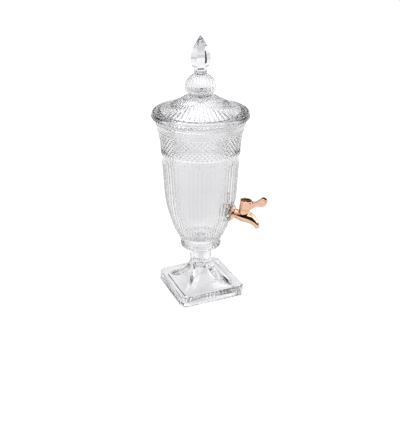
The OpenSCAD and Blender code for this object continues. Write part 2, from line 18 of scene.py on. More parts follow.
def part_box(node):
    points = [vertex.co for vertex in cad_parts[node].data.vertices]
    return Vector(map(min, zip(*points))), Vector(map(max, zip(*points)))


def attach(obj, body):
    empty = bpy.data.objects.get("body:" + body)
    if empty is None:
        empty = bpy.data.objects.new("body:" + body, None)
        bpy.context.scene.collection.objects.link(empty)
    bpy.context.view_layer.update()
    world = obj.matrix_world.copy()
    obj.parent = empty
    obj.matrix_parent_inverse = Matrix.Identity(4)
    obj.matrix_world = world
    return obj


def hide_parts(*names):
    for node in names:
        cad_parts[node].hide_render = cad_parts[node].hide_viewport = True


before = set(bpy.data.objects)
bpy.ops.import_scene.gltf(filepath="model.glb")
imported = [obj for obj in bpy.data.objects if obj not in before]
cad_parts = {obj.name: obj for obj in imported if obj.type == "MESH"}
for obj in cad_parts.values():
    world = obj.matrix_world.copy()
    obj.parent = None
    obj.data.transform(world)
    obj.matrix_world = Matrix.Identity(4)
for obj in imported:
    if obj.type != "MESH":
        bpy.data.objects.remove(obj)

log = logging.getLogger("dispenser")

MM = 0.001
# Name of the face attribute that holds each face's share of painted shade in the handle's recess.
RECESS = "recess"
SIDES = 48
FINE_SIDES = 96
FULL_TURN = 2.0 * math.pi
SHARP_ANGLE = math.radians(32.0)

Socket = bpy.types.NodeSocket
Pair = tuple[float, float]
Triple = tuple[float, float, float]
Stops = tuple[Pair, ...]
Link = Union[Socket, float]
Field = Callable[[np.ndarray], np.ndarray]


def blend(t: float, span: float, r0: float, s0: float, r1: float, s1: float) -> float:
    """Cubic between two radii with a given steepness at each end.

    Args:
        t: Place along the span, from 0 to 1.
        span: Length of the span.
        r0: Radius at its start.
        s0: Steepness at its start, out over along.
        r1: Radius at its end.
        s1: Steepness at its end.

    Returns:
        The radius at t.
    """
    return (
        (2 * t**3 - 3 * t**2 + 1) * r0
        + (t**3 - 2 * t**2 + t) * span * s0
        + (3 * t**2 - 2 * t**3) * r1
        + (t**3 - t**2) * span * s1
    )


def ease(low: float, high: float, x: np.ndarray) -> np.ndarray:
    """Smooth step of x from 0 at low to 1 at high; low may be the larger of the two."""
    t = np.clip((x - low) / (high - low), 0.0, 1.0)
    return t * t * (3.0 - 2.0 * t)


def steps(low: float, high: float, pitch: float) -> list[float]:
    """Even stations from low up to, and without, high, about one pitch apart."""
    count = max(1, round(abs(high - low) / pitch))
    return [low + (high - low) * k / count for k in range(count)]


def arc(r: float, z: float, radius: float, start: float, end: float, count: int) -> list[Pair]:
    """Points on an arc in the plane of a profile.

    Args:
        r: Distance of the arc's middle from the axis.
        z: Height of the arc's middle.
        radius: Radius of the arc.
        start: First angle in degrees, 0 outwards and 90 up.
        end: Last angle in degrees.
        count: Number of steps between them.

    Returns:
        The points, both ends included.
    """
    angles = [math.radians(start + (end - start) * k / count) for k in range(count + 1)]
    return [(r + radius * math.cos(a), z + radius * math.sin(a)) for a in angles]


class Wiring:
    """Adds nodes to one tree and links them."""

    def __init__(self, tree: bpy.types.NodeTree) -> None:
        """Keeps the tree and clears it."""
        self.tree = tree
        self.tree.nodes.clear()

    def add(self, kind: str, **settings: object) -> bpy.types.Node:
        """Adds a node.

        Args:
            kind: The node's type name.
            settings: Properties to set on it.

        Returns:
            The new node.
        """
        node = self.tree.nodes.new(kind)
        for name, value in settings.items():
            setattr(node, name, value)
        return node

    def feed(self, target: Socket, source: Link) -> None:
        """Links a socket to the target, or sets a plain value on it."""
        if isinstance(source, Socket):
            self.tree.links.new(source, target)
        else:
            target.default_value = source

    def math(self, operation: str, *values: Link) -> Socket:
        """Adds a Math node.

        Args:
            operation: The node's operation.
            values: Sockets or numbers for its inputs.

        Returns:
            The result's socket.
        """
        node = self.add("ShaderNodeMath", operation=operation)
        for target, value in zip(node.inputs, values):
            self.feed(target, value)
        return node.outputs[0]

    def vector(self, operation: str, *values: object, out: str = "Vector") -> Socket:
        """Adds a Vector Math node.

        Args:
            operation: The node's operation.
            values: Sockets, vectors or numbers for its inputs.
            out: Name of the output to use.

        Returns:
            The result's socket.
        """
        node = self.add("ShaderNodeVectorMath", operation=operation)
        for target, value in zip(node.inputs, values):
            self.feed(target, value)
        return node.outputs[out]

    def remap(self, value: Link, source: Pair, target: Pair) -> Socket:
        """Adds a clamped Map Range node from one range of values to another."""
        node = self.add("ShaderNodeMapRange")
        self.feed(node.inputs["Value"], value)
        for name, number in zip(("From Min", "From Max", "To Min", "To Max"), source + target):
            node.inputs[name].default_value = number
        return node.outputs["Result"]

    def mix(self, factor: Link, first: object, second: object) -> Socket:
        """Adds a colour Mix node.

        Args:
            factor: Share of the second colour.
            first: Colour or socket at 0.
            second: Colour or socket at 1.

        Returns:
            The mixed colour's socket.
        """
        node = self.add("ShaderNodeMix", data_type="RGBA")
        self.feed(node.inputs["Factor"], factor)
        colours = [s for s in node.inputs if s.type == "RGBA"]
        for target, value in zip(colours, (first, second)):
            self.feed(target, value if isinstance(value, Socket) else (*value, 1.0))
        return next(s for s in node.outputs if s.type == "RGBA")

    def between(self, value: Link, span: Pair, first: object, second: object) -> Socket:
        """Goes from one colour to another while a value passes a span."""
        return self.mix(self.remap(value, span, (0.0, 1.0)), first, second)

    def ramp(self, value: Link, stops: Sequence[Pair]) -> Socket:
        """Adds a grey ramp over values from -1 to 1.

        Args:
            value: The value's socket.
            stops: Pairs of a value and the grey level there.

        Returns:
            The grey's socket.
        """
        node = self.add("ShaderNodeValToRGB")
        elements = node.color_ramp.elements
        for element in list(elements)[1:]:
            elements.remove(element)
        for k, (place, level) in enumerate(stops):
            element = elements[0] if k == 0 else elements.new(0.5 + 0.5 * place)
            element.position = 0.5 + 0.5 * place
            element.color = (level, level, level, 1.0)
        self.feed(node.inputs["Fac"], self.math("MULTIPLY_ADD", value, 0.5, 0.5))
        return node.outputs["Color"]

    def noise(self, scale: float, detail: float, stretch: Triple = (1, 1, 1)) -> Socket:
        """Adds a Noise Texture on Object coordinates.

        Args:
            scale: Scale of the noise, in waves per metre.
            detail: Octaves of finer noise.
            stretch: Scale along each axis.

        Returns:
            The noise's value.
        """
        place = self.add("ShaderNodeTexCoord")
        mapping = self.add("ShaderNodeMapping")
        mapping.inputs["Scale"].default_value = stretch
        self.feed(mapping.inputs["Vector"], place.outputs["Object"])
        node = self.add("ShaderNodeTexNoise")
        self.feed(node.inputs["Vector"], mapping.outputs["Vector"])
        node.inputs["Scale"].default_value = scale
        node.inputs["Detail"].default_value = detail
        return node.outputs[0]

    def bump(self, height: Link, distance: float, strength: float) -> Socket:
        """Adds a Bump node of that height in metres and strength."""
        node = self.add("ShaderNodeBump")
        self.feed(node.inputs["Height"], height)
        node.inputs["Distance"].default_value = distance
        node.inputs["Strength"].default_value = strength
        return node.outputs["Normal"]


def new_material(name: str) -> tuple[bpy.types.Material, Wiring, bpy.types.Node]:
    """Makes a material with one Principled shader on its output.

    Args:
        name: The material's name.

    Returns:
        The material, its wiring and the shader.
    """
    material = bpy.data.materials.new(name)
    material.use_nodes = True
    wires = Wiring(material.node_tree)
    shader = wires.add("ShaderNodeBsdfPrincipled")
    output = wires.add("ShaderNodeOutputMaterial")
    wires.feed(output.inputs["Surface"], shader.outputs["BSDF"])
    return material, wires, shader


@dataclass(frozen=True)
class GlassFinish:
    """Clear pressed glass with the faint waves and fire-polished haze of its mould."""

    slot: str
    tint: Triple
    shade: Triple
    index: float = 1.5
    cord_scale: float = 28.0
    cord_stretch: Triple = (1.0, 1.0, 0.35)
    cord_span: Pair = (0.35, 0.65)
    haze_scale: float = 160.0
    haze_span: Pair = (0.45, 0.75)
    polish: Pair = (0.0, 0.03)
    wave_scale: float = 55.0
    wave_height: float = 0.25 * MM
    wave_strength: float = 0.25
    dapple: float = 0.0
    dapple_scale: float = 260.0
    dapple_strength: float = 0.5
    dapple_z: Pair = (0.15, 0.2)

    def material(self) -> bpy.types.Material:
        """Builds the glass's material.

        Returns:
            The material.
        """
        material, wires, shader = new_material(self.slot)
        cords = wires.noise(self.cord_scale, 2.0, self.cord_stretch)
        wires.feed(shader.inputs["Base Color"], wires.between(cords, self.cord_span, self.tint, self.shade))
        haze = wires.remap(wires.noise(self.haze_scale, 3.0), self.haze_span, self.polish)
        wires.feed(shader.inputs["Roughness"], haze)
        normal = wires.bump(wires.noise(self.wave_scale, 1.0), self.wave_height, self.wave_strength)
        if self.dapple:
            normal = self._dappled(wires, normal)
        wires.feed(shader.inputs["Normal"], normal)
        shader.inputs["IOR"].default_value = self.index
        shader.inputs["Transmission Weight"].default_value = 1.0
        return material

    def _dappled(self, wires: Wiring, normal: Socket) -> Socket:
        """Adds the fine dapples that a mould leaves low down on a piece.

        Args:
            wires: The material's wiring.
            normal: The normal so far.

        Returns:
            The dappled normal.
        """
        split = wires.add("ShaderNodeSeparateXYZ")
        wires.feed(split.inputs["Vector"], wires.add("ShaderNodeTexCoord").outputs["Object"])
        low = wires.remap(split.outputs["Z"], self.dapple_z, (1.0, 0.0))
        dapples = wires.math("MULTIPLY", wires.noise(self.dapple_scale, 1.0), low)
        bump = wires.bump(dapples, self.dapple, self.dapple_strength)
        wires.feed(bump.node.inputs["Normal"], normal)
        return bump


@dataclass(frozen=True)
class MetalFinish:
    """Plated or bright metal, with soft cloudiness, fine polishing lines and painted shade where a face is
    marked as lying in a recess.
    """

    slot: str
    colour: Triple
    worn: Triple
    polish: Pair
    cloud_scale: float = 110.0
    cloud_span: Pair = (0.35, 0.7)
    line_scale: float = 900.0
    line_stretch: Triple = (1.0, 1.0, 0.2)
    line_span: Pair = (0.3, 0.75)
    line_height: float = 0.01 * MM
    line_strength: float = 0.15
    # Painted shade: the dark brown that faces in the handle's recess take in place of the plated colour.
    sunk_shade: Triple = (0.22, 0.1, 0.05)

    def material(self) -> bpy.types.Material:
        """Builds the metal's material.

        Returns:
            The material.
        """
        material, wires, shader = new_material(self.slot)
        clouds = wires.noise(self.cloud_scale, 3.0)
        plated = wires.between(clouds, self.cloud_span, self.colour, self.worn)
        # Painted shade: the recess attribute mixes the dark sunk colour into faces inside the handle's
        # recess.
        recess = wires.add("ShaderNodeAttribute", attribute_name=RECESS).outputs["Fac"]
        wires.feed(shader.inputs["Base Color"], wires.mix(recess, plated, self.sunk_shade))
        lines = wires.noise(self.line_scale, 2.0, self.line_stretch)
        wires.feed(shader.inputs["Roughness"], wires.remap(lines, self.line_span, self.polish))
        wires.feed(shader.inputs["Normal"], wires.bump(lines, self.line_height, self.line_strength))
        shader.inputs["Metallic"].default_value = 1.0
        return material


@dataclass(frozen=True)
class MouldedFinish:
    """Moulded silicone, nylon or rubber, with a fine grain and uneven tone."""

    slot: str
    colour: Triple
    shade: Triple
    roughness: Pair
    tone_scale: float = 220.0
    tone_span: Pair = (0.3, 0.7)
    grain_scale: float = 1400.0
    grain_span: Pair = (0.3, 0.7)
    grain_height: float = 0.03 * MM
    grain_strength: float = 0.3

    def material(self) -> bpy.types.Material:
        """Builds the moulding's material.

        Returns:
            The material.
        """
        material, wires, shader = new_material(self.slot)
        tone = wires.noise(self.tone_scale, 4.0)
        wires.feed(shader.inputs["Base Color"], wires.between(tone, self.tone_span, self.colour, self.shade))
        grain = wires.noise(self.grain_scale, 2.0)
        wires.feed(shader.inputs["Roughness"], wires.remap(grain, self.grain_span, self.roughness))
        wires.feed(shader.inputs["Normal"], wires.bump(grain, self.grain_height, self.grain_strength))
        return material


BOWL_GLASS = GlassFinish(
    "bowl_glass", (0.941, 0.94, 0.949), (0.909, 0.908, 0.919), polish=(0.03, 0.09), dapple=0.35 * MM
)
PEDESTAL_GLASS = GlassFinish(
    "pedestal_glass", (0.94, 0.936, 0.952), (0.91, 0.906, 0.926), polish=(0.03, 0.12), dapple=0.2 * MM
)
LID_GLASS = GlassFinish("lid_glass", (0.96, 0.957, 0.974), (0.925, 0.922, 0.943))
FINIAL_GLASS = GlassFinish("finial_glass", (0.95, 0.946, 0.966), (0.92, 0.916, 0.938), wave_scale=30.0)
ROSE_GOLD = MetalFinish("rose_gold", (0.77, 0.5, 0.35), (0.71, 0.44, 0.3), (0.04, 0.12))
SILICONE = MouldedFinish("silicone", (0.88, 0.88, 0.87), (0.8, 0.8, 0.79), (0.45, 0.6))
NYLON = MouldedFinish("nylon", (0.86, 0.84, 0.78), (0.8, 0.78, 0.71), (0.4, 0.55))
O_RING_RUBBER = MouldedFinish("o_ring_rubber", (0.05, 0.05, 0.05), (0.03, 0.03, 0.03), (0.5, 0.7))


class Shape(Enum):
    """How a pressing repeats round a turned surface."""

    SCOOP = "hollow between sharp ridges"
    LOBE = "rounded rib between sharp valleys"
    POINT = "four-sided point between crossed cuts"


@dataclass(frozen=True)
class Pressing:
    """One repeated pressing: its shape, how many go round and how deep it is."""

    name: str
    shape: Shape
    count: int
    depth: float


class PressTree:
    """Geometry Nodes tree that presses repeated scoops, lobes or points into a surface.

    The surface carries, at each point, how far round it is (turn), which way is out (out) and, for each
    pressing, its weight, how far its floor has run out and how many rows it has climbed (NAME_weight,
    NAME_runout, NAME_climb).
    """

    def __init__(self, name: str, pressings: Sequence[Pressing]) -> None:
        """Builds the tree.

        Args:
            name: Name of the tree.
            pressings: The pressings that it makes.
        """
        self.pressings = list(pressings)
        self.tree = bpy.data.node_groups.new(name, "GeometryNodeTree")
        self.wires = Wiring(self.tree)
        self.sockets: dict[str, str] = {}
        self._input("Geometry", "NodeSocketGeometry")
        for pressing in self.pressings:
            self._input(f"{pressing.name} count", "NodeSocketInt")
            self._input(f"{pressing.name} depth", "NodeSocketFloat")
        self._input("Finish", "NodeSocketMaterial")
        self.tree.interface.new_socket("Geometry", in_out="OUTPUT", socket_type="NodeSocketGeometry")
        self._wire()

    def _input(self, name: str, kind: str) -> None:
        """Adds a named input and keeps its identifier."""
        socket = self.tree.interface.new_socket(name, in_out="INPUT", socket_type=kind)
        self.sockets[name] = socket.identifier

    def _read(self, name: str, kind: str = "FLOAT") -> Socket:
        """Reads a point's own value of that name."""
        node = self.wires.add("GeometryNodeInputNamedAttribute", data_type=kind)
        node.inputs["Name"].default_value = name
        return next(s for s in node.outputs if s.enabled and s.name == "Attribute")

    def _relief(self, pressing: Pressing, source: bpy.types.Node) -> Socket:
        """Wires one pressing.

        Args:
            pressing: The pressing.
            source: The tree's input node.

        Returns:
            How far the surface moves out, which is never above zero.
        """
        wires = self.wires
        round_it = wires.math("MULTIPLY", source.outputs[f"{pressing.name} count"], self._read("turn"))
        climb = self._read(f"{pressing.name}_climb")
        if pressing.shape is Shape.POINT:
            ways = [wires.math(way, round_it, climb) for way in ("ADD", "SUBTRACT")]
            cuts = [wires.math("PINGPONG", way, 0.5) for way in ways]
            rise = wires.math("MULTIPLY", wires.math("MINIMUM", *cuts), 2.0)
            level = wires.math("SUBTRACT", rise, 1.0)
        else:
            across = wires.math("FRACT", wires.math("ADD", round_it, climb))
            across = wires.math("SUBTRACT", wires.math("MULTIPLY", across, 2.0), 1.0)
            hollow = wires.math("SUBTRACT", 1.0, wires.math("MULTIPLY", across, across))
            if pressing.shape is Shape.SCOOP:
                left = wires.math("SUBTRACT", hollow, self._read(f"{pressing.name}_runout"))
                level = wires.math("MULTIPLY", wires.math("MAXIMUM", left, 0.0), -1.0)
            else:
                level = wires.math("SUBTRACT", wires.math("SQRT", wires.math("MAXIMUM", hollow, 0.0)), 1.0)
        share = wires.math("MULTIPLY", level, self._read(f"{pressing.name}_weight"))
        return wires.math("MULTIPLY", share, source.outputs[f"{pressing.name} depth"])

    def _wire(self) -> None:
        """Links the pressings, the move, Realize Instances and Set Material."""
        wires = self.wires
        source = wires.add("NodeGroupInput")
        total: Link = 0.0
        for pressing in self.pressings:
            total = wires.math("ADD", total, self._relief(pressing, source))
        move = wires.add("GeometryNodeSetPosition")
        offset = wires.add("ShaderNodeVectorMath", operation="SCALE")
        wires.feed(offset.inputs[0], self._read("out", "FLOAT_VECTOR"))
        wires.feed(offset.inputs["Scale"], total)
        realize = wires.add("GeometryNodeRealizeInstances")
        paint = wires.add("GeometryNodeSetMaterial")
        output = wires.add("NodeGroupOutput")
        wires.feed(move.inputs["Geometry"], source.outputs["Geometry"])
        wires.feed(move.inputs["Offset"], offset.outputs["Vector"])
        wires.feed(realize.inputs["Geometry"], move.outputs["Geometry"])
        wires.feed(paint.inputs["Geometry"], realize.outputs["Geometry"])
        wires.feed(paint.inputs["Material"], source.outputs["Finish"])
        wires.feed(output.inputs[0], paint.outputs["Geometry"])

    def press(self, piece: bpy.types.Object, material: bpy.types.Material) -> None:
        """Presses a piece and leaves it a plain mesh.

        Args:
            piece: The piece, with its point values stored.
            material: Its finish.
        """
        modifier = piece.modifiers.new(self.tree.name, "NODES")
        modifier.node_group = self.tree
        for pressing in self.pressings:
            modifier[self.sockets[f"{pressing.name} count"]] = pressing.count
            modifier[self.sockets[f"{pressing.name} depth"]] = pressing.depth * MM
        modifier[self.sockets["Finish"]] = material
        bake_modifiers(piece)
        drop_values(piece)


@dataclass
class Row:
    """One ring of a turned surface: radius, height and point values by name."""

    r: float
    z: float
    marks: dict[str, float] = field(default_factory=dict)


def arc_rows(r: float, z: float, radius: float, start: float, end: float, count: int) -> list[Row]:
    """Plain rows on an arc, which is given as for arc."""
    return [Row(*point) for point in arc(r, z, radius, start, end, count)]


def drop_values(piece: bpy.types.Object) -> None:
    """Removes the values that a piece's points were built with."""
    for name in [a.name for a in piece.data.attributes if a.domain == "POINT" and a.name != "position"]:
        piece.data.attributes.remove(piece.data.attributes[name])


def ring_faces(rings: int, count: int) -> list[tuple[int, ...]]:
    """Faces of a closed skin over rings of so many points, with both ends capped."""
    faces: list[tuple[int, ...]] = []
    for j in range(rings - 1):
        for i in range(count):
            k = (i + 1) % count
            faces.append((j * count + i, j * count + k, (j + 1) * count + k, (j + 1) * count + i))
    faces.append(tuple(range(count - 1, -1, -1)))
    last = (rings - 1) * count
    faces.append(tuple(range(last, last + count)))
    return faces


def bake_modifiers(piece: bpy.types.Object) -> None:
    """Turns a piece's evaluated shape into its own plain mesh and drops its modifiers."""
    bpy.context.view_layer.update()
    graph = bpy.context.evaluated_depsgraph_get()
    mesh = bpy.data.meshes.new_from_object(piece.evaluated_get(graph))
    old = piece.data
    piece.modifiers.clear()
    piece.data = mesh
    mesh.name = piece.name
    bpy.data.meshes.remove(old)


def mesh_piece(name: str, points: np.ndarray, faces: Sequence[Sequence[int]]) -> bpy.types.Object:
    """Makes a mesh object at the origin.

    Args:
        name: The piece's name.
        points: Its points in millimetres, one row each.
        faces: Point numbers of each face.

    Returns:
        The object.
    """
    mesh = bpy.data.meshes.new(name)
    mesh.from_pydata((np.asarray(points) * MM).tolist(), [], faces)
    piece = bpy.data.objects.new(name, mesh)
    bpy.context.scene.collection.objects.link(piece)
    return piece


def store(piece: bpy.types.Object, name: str, values: np.ndarray) -> None:
    """Keeps a number or a vector for each point under a name."""
    values = np.asarray(values, dtype=np.float32)
    kind, key = ("FLOAT_VECTOR", "vector") if values.ndim == 2 else ("FLOAT", "value")
    attribute = piece.data.attributes.new(name, kind, "POINT")
    attribute.data.foreach_set(key, values.ravel())


def soften(piece: bpy.types.Object, angle: float = SHARP_ANGLE) -> None:
    """Shades a piece smooth, with edges sharper than the angle kept crisp."""
    piece.data.shade_smooth()
    piece.data.set_sharp_from_angle(angle=angle)


def points_of(piece: bpy.types.Object) -> np.ndarray:
    """A piece's points in millimetres."""
    flat = np.empty(3 * len(piece.data.vertices))
    piece.data.vertices.foreach_get("co", flat)
    return flat.reshape(-1, 3) / MM


def set_points(piece: bpy.types.Object, points: np.ndarray) -> None:
    """Moves a piece's points to these places in millimetres."""
    piece.data.vertices.foreach_set("co", (points * MM).ravel())
    piece.data.update()


def place(piece: bpy.types.Object, matrix: Matrix) -> None:
    """Turns and moves a piece's mesh by a matrix in millimetres, with the object left at the origin."""
    turned_points = np.c_[points_of(piece), np.ones(len(piece.data.vertices))] @ np.array(matrix).T
    set_points(piece, turned_points[:, :3])


def turned(
    name: str, rows: Sequence[Row], columns: int, split: Callable[[int, int], int] | None = None
) -> bpy.types.Object:
    """Makes a closed surface turned about Z, from a pole at its first row to a pole at its last.

    Args:
        name: The piece's name.
        rows: Its rings, with a radius of 0 at both ends, from the underside round the outside.
        columns: Points in each ring.
        split: Says for a row and a column whether that face is cut along its rising (1) or its falling (-1)
            diagonal.

    Returns:
        The piece, with its point values stored.
    """
    inner = rows[1:-1]
    count = len(inner)
    angles = FULL_TURN * np.arange(columns) / columns
    ring = np.c_[np.cos(angles), np.sin(angles)]
    r = np.array([row.r for row in rows])
    z = np.array([row.z for row in rows])
    points = np.concatenate(
        [np.c_[row.r * ring, np.full(columns, row.z)] for row in inner] + [[[0, 0, z[0]], [0, 0, z[-1]]]]
    )
    low, high = count * columns, count * columns + 1
    faces: list[tuple[int, ...]] = []
    for j in range(count - 1):
        for i in range(columns):
            k = (i + 1) % columns
            a, b, c, d = j * columns + i, j * columns + k, (j + 1) * columns + k, (j + 1) * columns + i
            cut = split(j + 1, i) if split else 0
            if cut > 0:
                faces += [(a, b, c), (a, c, d)]
            elif cut < 0:
                faces += [(a, b, d), (b, c, d)]
            else:
                faces.append((a, b, c, d))
    faces += [(low, (i + 1) % columns, i) for i in range(columns)]
    top = (count - 1) * columns
    faces += [(high, top + i, top + (i + 1) % columns) for i in range(columns)]
    piece = mesh_piece(name, points, faces)

    along_r = r[2:] - r[:-2]
    along_z = z[2:] - z[:-2]
    length = np.maximum(np.hypot(along_r, along_z), 1e-9)
    out = np.concatenate(
        [np.c_[ring * (dz / s), np.full(columns, -dr / s)] for dr, dz, s in zip(along_r, along_z, length)]
        + [np.zeros((2, 3))]
    )
    store(piece, "out", out)
    store(piece, "turn", np.r_[np.tile(np.arange(columns) / columns, count), 0, 0])
    for mark in sorted({key for row in inner for key in row.marks}):
        values = np.repeat([row.marks.get(mark, 0.0) for row in inner], columns)
        store(piece, mark, np.r_[values, 0, 0])
    return piece


def cut(piece: bpy.types.Object, tool: bpy.types.Object) -> None:
    """Cuts a piece by a tool, which is then removed."""
    modifier = piece.modifiers.new("cut", "BOOLEAN")
    modifier.operation = "DIFFERENCE"
    modifier.solver = "EXACT"
    modifier.object = tool
    bake_modifiers(piece)
    remove(tool)


def remove(piece: bpy.types.Object) -> None:
    """Deletes an object and its mesh."""
    mesh = piece.data
    bpy.data.objects.remove(piece)
    bpy.data.meshes.remove(mesh)


def rod(name: str, radius: float, low: float, high: float, columns: int = 64) -> bpy.types.Object:
    """Makes a plain round bar along Z, for use as a cutting tool."""
    return turned(name, [Row(0, low), Row(radius, low), Row(radius, high), Row(0, high)], columns)


def join(parts: Sequence[bpy.types.Object]) -> bpy.types.Object:
    """Joins several meshes into the first and returns it."""
    base = bmesh.new()
    for part in parts:
        base.from_mesh(part.data)
    base.to_mesh(parts[0].data)
    base.free()
    for part in parts[1:]:
        remove(part)
    return parts[0]


def finish_piece(
    piece: bpy.types.Object, finish: GlassFinish | MetalFinish | MouldedFinish, body: str, *nodes: str
) -> None:
    """Parents a finished piece to its body and hides the nodes that it stands for.

    Args:
        piece: The piece.
        finish: Not used.
        body: The body that it rides on.
        nodes: The nodes that it replaces.
    """
    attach(piece, body)
    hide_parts(*nodes)
    log.info("%s: %d faces on %s", piece.name, len(piece.data.polygons), body)


@dataclass
class TapSeat:
    """Where the tap passes the bowl's wall, and the frame that its pieces are drawn in."""

    height: float
    out: float
    lean: float = 7.5
    boss_r: float = 18.5
    boss_edge: float = 2.5
    boss_wall: float = 6.0
    seat_r: float = 14.5
    hole_r: float = 8.5
    boss_soft: float = 0.5
    seat_edge: float = 2.0
    drill: Pair = (-25.0, 10.0)

    def matrix(self) -> Matrix:
        """The tap's frame: its Y runs outwards from the boss's face and its Z up the barrel."""
        lean = Matrix.Rotation(math.radians(self.lean), 4, "X")
        return Matrix.Translation((0, -self.out, self.height)) @ lean @ Matrix.Rotation(math.pi, 4, "Z")

    def along(self, y: float = 0.0) -> Matrix:
        """Turns what is built along Z to run outwards along the tap's axis from y."""
        return self.matrix() @ Matrix.Translation((0, y, 0)) @ Matrix.Rotation(-math.pi / 2, 4, "X")

    def local(self, points: np.ndarray) -> np.ndarray:
        """Points of the row's frame, in the tap's frame."""
        return (np.c_[points, np.ones(len(points))] @ np.array(self.matrix().inverted()).T)[:, :3]

    def world(self, points: np.ndarray) -> np.ndarray:
        """Points of the tap's frame, in the row's frame."""
        return (np.c_[points, np.ones(len(points))] @ np.array(self.matrix()).T)[:, :3]


@dataclass
class Pedestal:
    """Square glass foot with fluted sides, and a coved eight-sided stem."""

    foot_side: float = 140.0
    foot_h: float = 22.0
    corner: float = 8.5
    arris: float = 2.0
    edge: float = 0.7
    border: float = 8.0
    stem_half: float = 20.0
    stem_z: float = 74.0
    seat_half: float = 26.0
    flutes: Pressing = Pressing("side", Shape.SCOOP, 14, 1.2)
    kick_drop: float = 18.0
    kick_inset: float = 8.0
    kick_flare: float = 1.5
    kick_crown: float = 4.0
    crown_rows: int = 5
    crown_angle: float = 85.0
    row_pitch: float = 4.0
    sharp: float = 50.0
    side_steps: int = 14 * 8
    corner_steps: int = 6
    cove_rows: int = 26
    bond: float = 0.05

    def _corner_half(self, half: float) -> float:
        """Distance from the axis to the chamfer on the corner of a square of that half side."""
        return (2 * half - self.corner) / math.sqrt(2)

    def _stations(self, top: float) -> list[tuple[float, float, float, float]]:
        """Rings of the pedestal.

        Args:
            top: Height of the seat.

        Returns:
            Height, half widths across the sides and across the corners, and depth share of the flutes.
        """
        half = self.foot_side / 2
        cove = half - self.border
        wide, wide_cove = self._corner_half(half), self._corner_half(cove)
        rows = self._kick(cove, wide_cove)
        rows += [(z, half, wide, 1.0) for z in steps(0.0, self.foot_h - self.arris, self.row_pitch)]
        rows.append((self.foot_h - self.arris - self.edge, half, wide, 1.0))
        rows.append((self.foot_h - self.arris, half, wide, 1.0))
        rows.append((self.foot_h, half - self.arris, wide - self.arris, 0.0))
        rows.append((self.foot_h, half - self.arris - self.edge, wide - self.arris - self.edge, 0.0))
        for k in range(self.cove_rows + 1):
            a = 0.5 * math.pi * k / self.cove_rows
            z = self.stem_z - (self.stem_z - self.foot_h) * math.cos(a)
            fall = math.sin(a)
            side, slant = (edge - (edge - self.stem_half) * fall for edge in (cove, wide_cove))
            rows.append((z, side, slant, 0.0))
        for k in range(1, self.cove_rows // 2 + 1):
            t = 2.0 * k / self.cove_rows
            half_here = self.stem_half + (self.seat_half - self.stem_half) * t * t
            rows.append((self.stem_z + (top - self.stem_z) * t, half_here, half_here, 0.0))
        return rows

    def _kick(self, cove: float, wide_cove: float) -> list[tuple[float, float, float, float]]:
        """Rings of the hollow under the foot, from its crown down to the table.

        Args:
            cove: Half width of the cove across the sides, where it meets the plate.
            wide_cove: The same across the corners.

        Returns:
            Stations, as for the outside.
        """
        crown = self.stem_half - self.kick_inset
        peak = self.stem_z - self.kick_drop
        rows = []
        for k in range(self.crown_rows):
            a = math.radians(self.crown_angle - self.crown_angle * k / self.crown_rows)
            reach = crown * math.cos(a)
            rows.append((peak + self.kick_crown * math.sin(a), reach, reach, 0.0))
        for k in range(self.cove_rows, -1, -1):
            a = 0.5 * math.pi * k / self.cove_rows
            z = peak - (self.stem_z - self.foot_h) * math.cos(a)
            fall = math.sin(a)
            sides = [edge - self.kick_inset - (edge - self.stem_half) * fall for edge in (cove, wide_cove)]
            rows.append((z, sides[0], sides[1], 0.0))
        _, side, corner, _ = rows[-1]
        rows.append((0.0, side + self.kick_flare, corner + self.kick_flare, 0.0))
        return rows

    def _ring(self, half: float, wide: float) -> tuple[np.ndarray, np.ndarray, np.ndarray, np.ndarray]:
        """One eight-sided ring.

        Args:
            half: Half width across the sides.
            wide: Half width across the corners.

        Returns:
            Its points, the way out at each, how far along its side each lies, and 1 on sides, 0 on corners.
        """
        reach = math.sqrt(2) * wide - half
        points, out, along, side = [], [], [], []
        for turn in range(4):
            c, s = math.cos(math.pi * turn / 2), math.sin(math.pi * turn / 2)
            for count, start, end, normal, flat in (
                (self.side_steps, (half, -reach), (half, reach), (1.0, 0.0), 1.0),
                (self.corner_steps, (half, reach), (reach, half), (math.sqrt(0.5), math.sqrt(0.5)), 0.0),
            ):
                for k in range(count):
                    t = k / count
                    x, y = start[0] + (end[0] - start[0]) * t, start[1] + (end[1] - start[1]) * t
                    points.append((c * x - s * y, s * x + c * y))
                    out.append((c * normal[0] - s * normal[1], s * normal[0] + c * normal[1]))
                    along.append(t)
                    side.append(flat)
        return np.array(points), np.array(out), np.array(along), np.array(side)

    def build(self, top: float) -> bpy.types.Object:
        """Makes the pedestal.

        Args:
            top: Height of the seat under the bowl.

        Returns:
            The piece.
        """
        rows = self._stations(top + self.bond)
        rings = [self._ring(half, wide) for _, half, wide, _ in rows]
        count = len(rings[0][0])
        points = np.concatenate([np.c_[ring[0], np.full(count, row[0])] for ring, row in zip(rings, rows)])
        piece = mesh_piece("pedestal_glass_foot", points, ring_faces(len(rows), count))
        store(piece, "out", np.concatenate([np.c_[ring[1], np.zeros(count)] for ring in rings]))
        store(piece, "turn", np.concatenate([ring[2] for ring in rings]))
        weights = np.concatenate([ring[3] * row[3] for ring, row in zip(rings, rows)])
        store(piece, "side_weight", weights)
        PressTree("foot_flutes", [self.flutes]).press(piece, PEDESTAL_GLASS.material())
        place(piece, Matrix.Rotation(math.pi / 4, 4, "Z"))
        soften(piece, math.radians(self.sharp))
        return piece


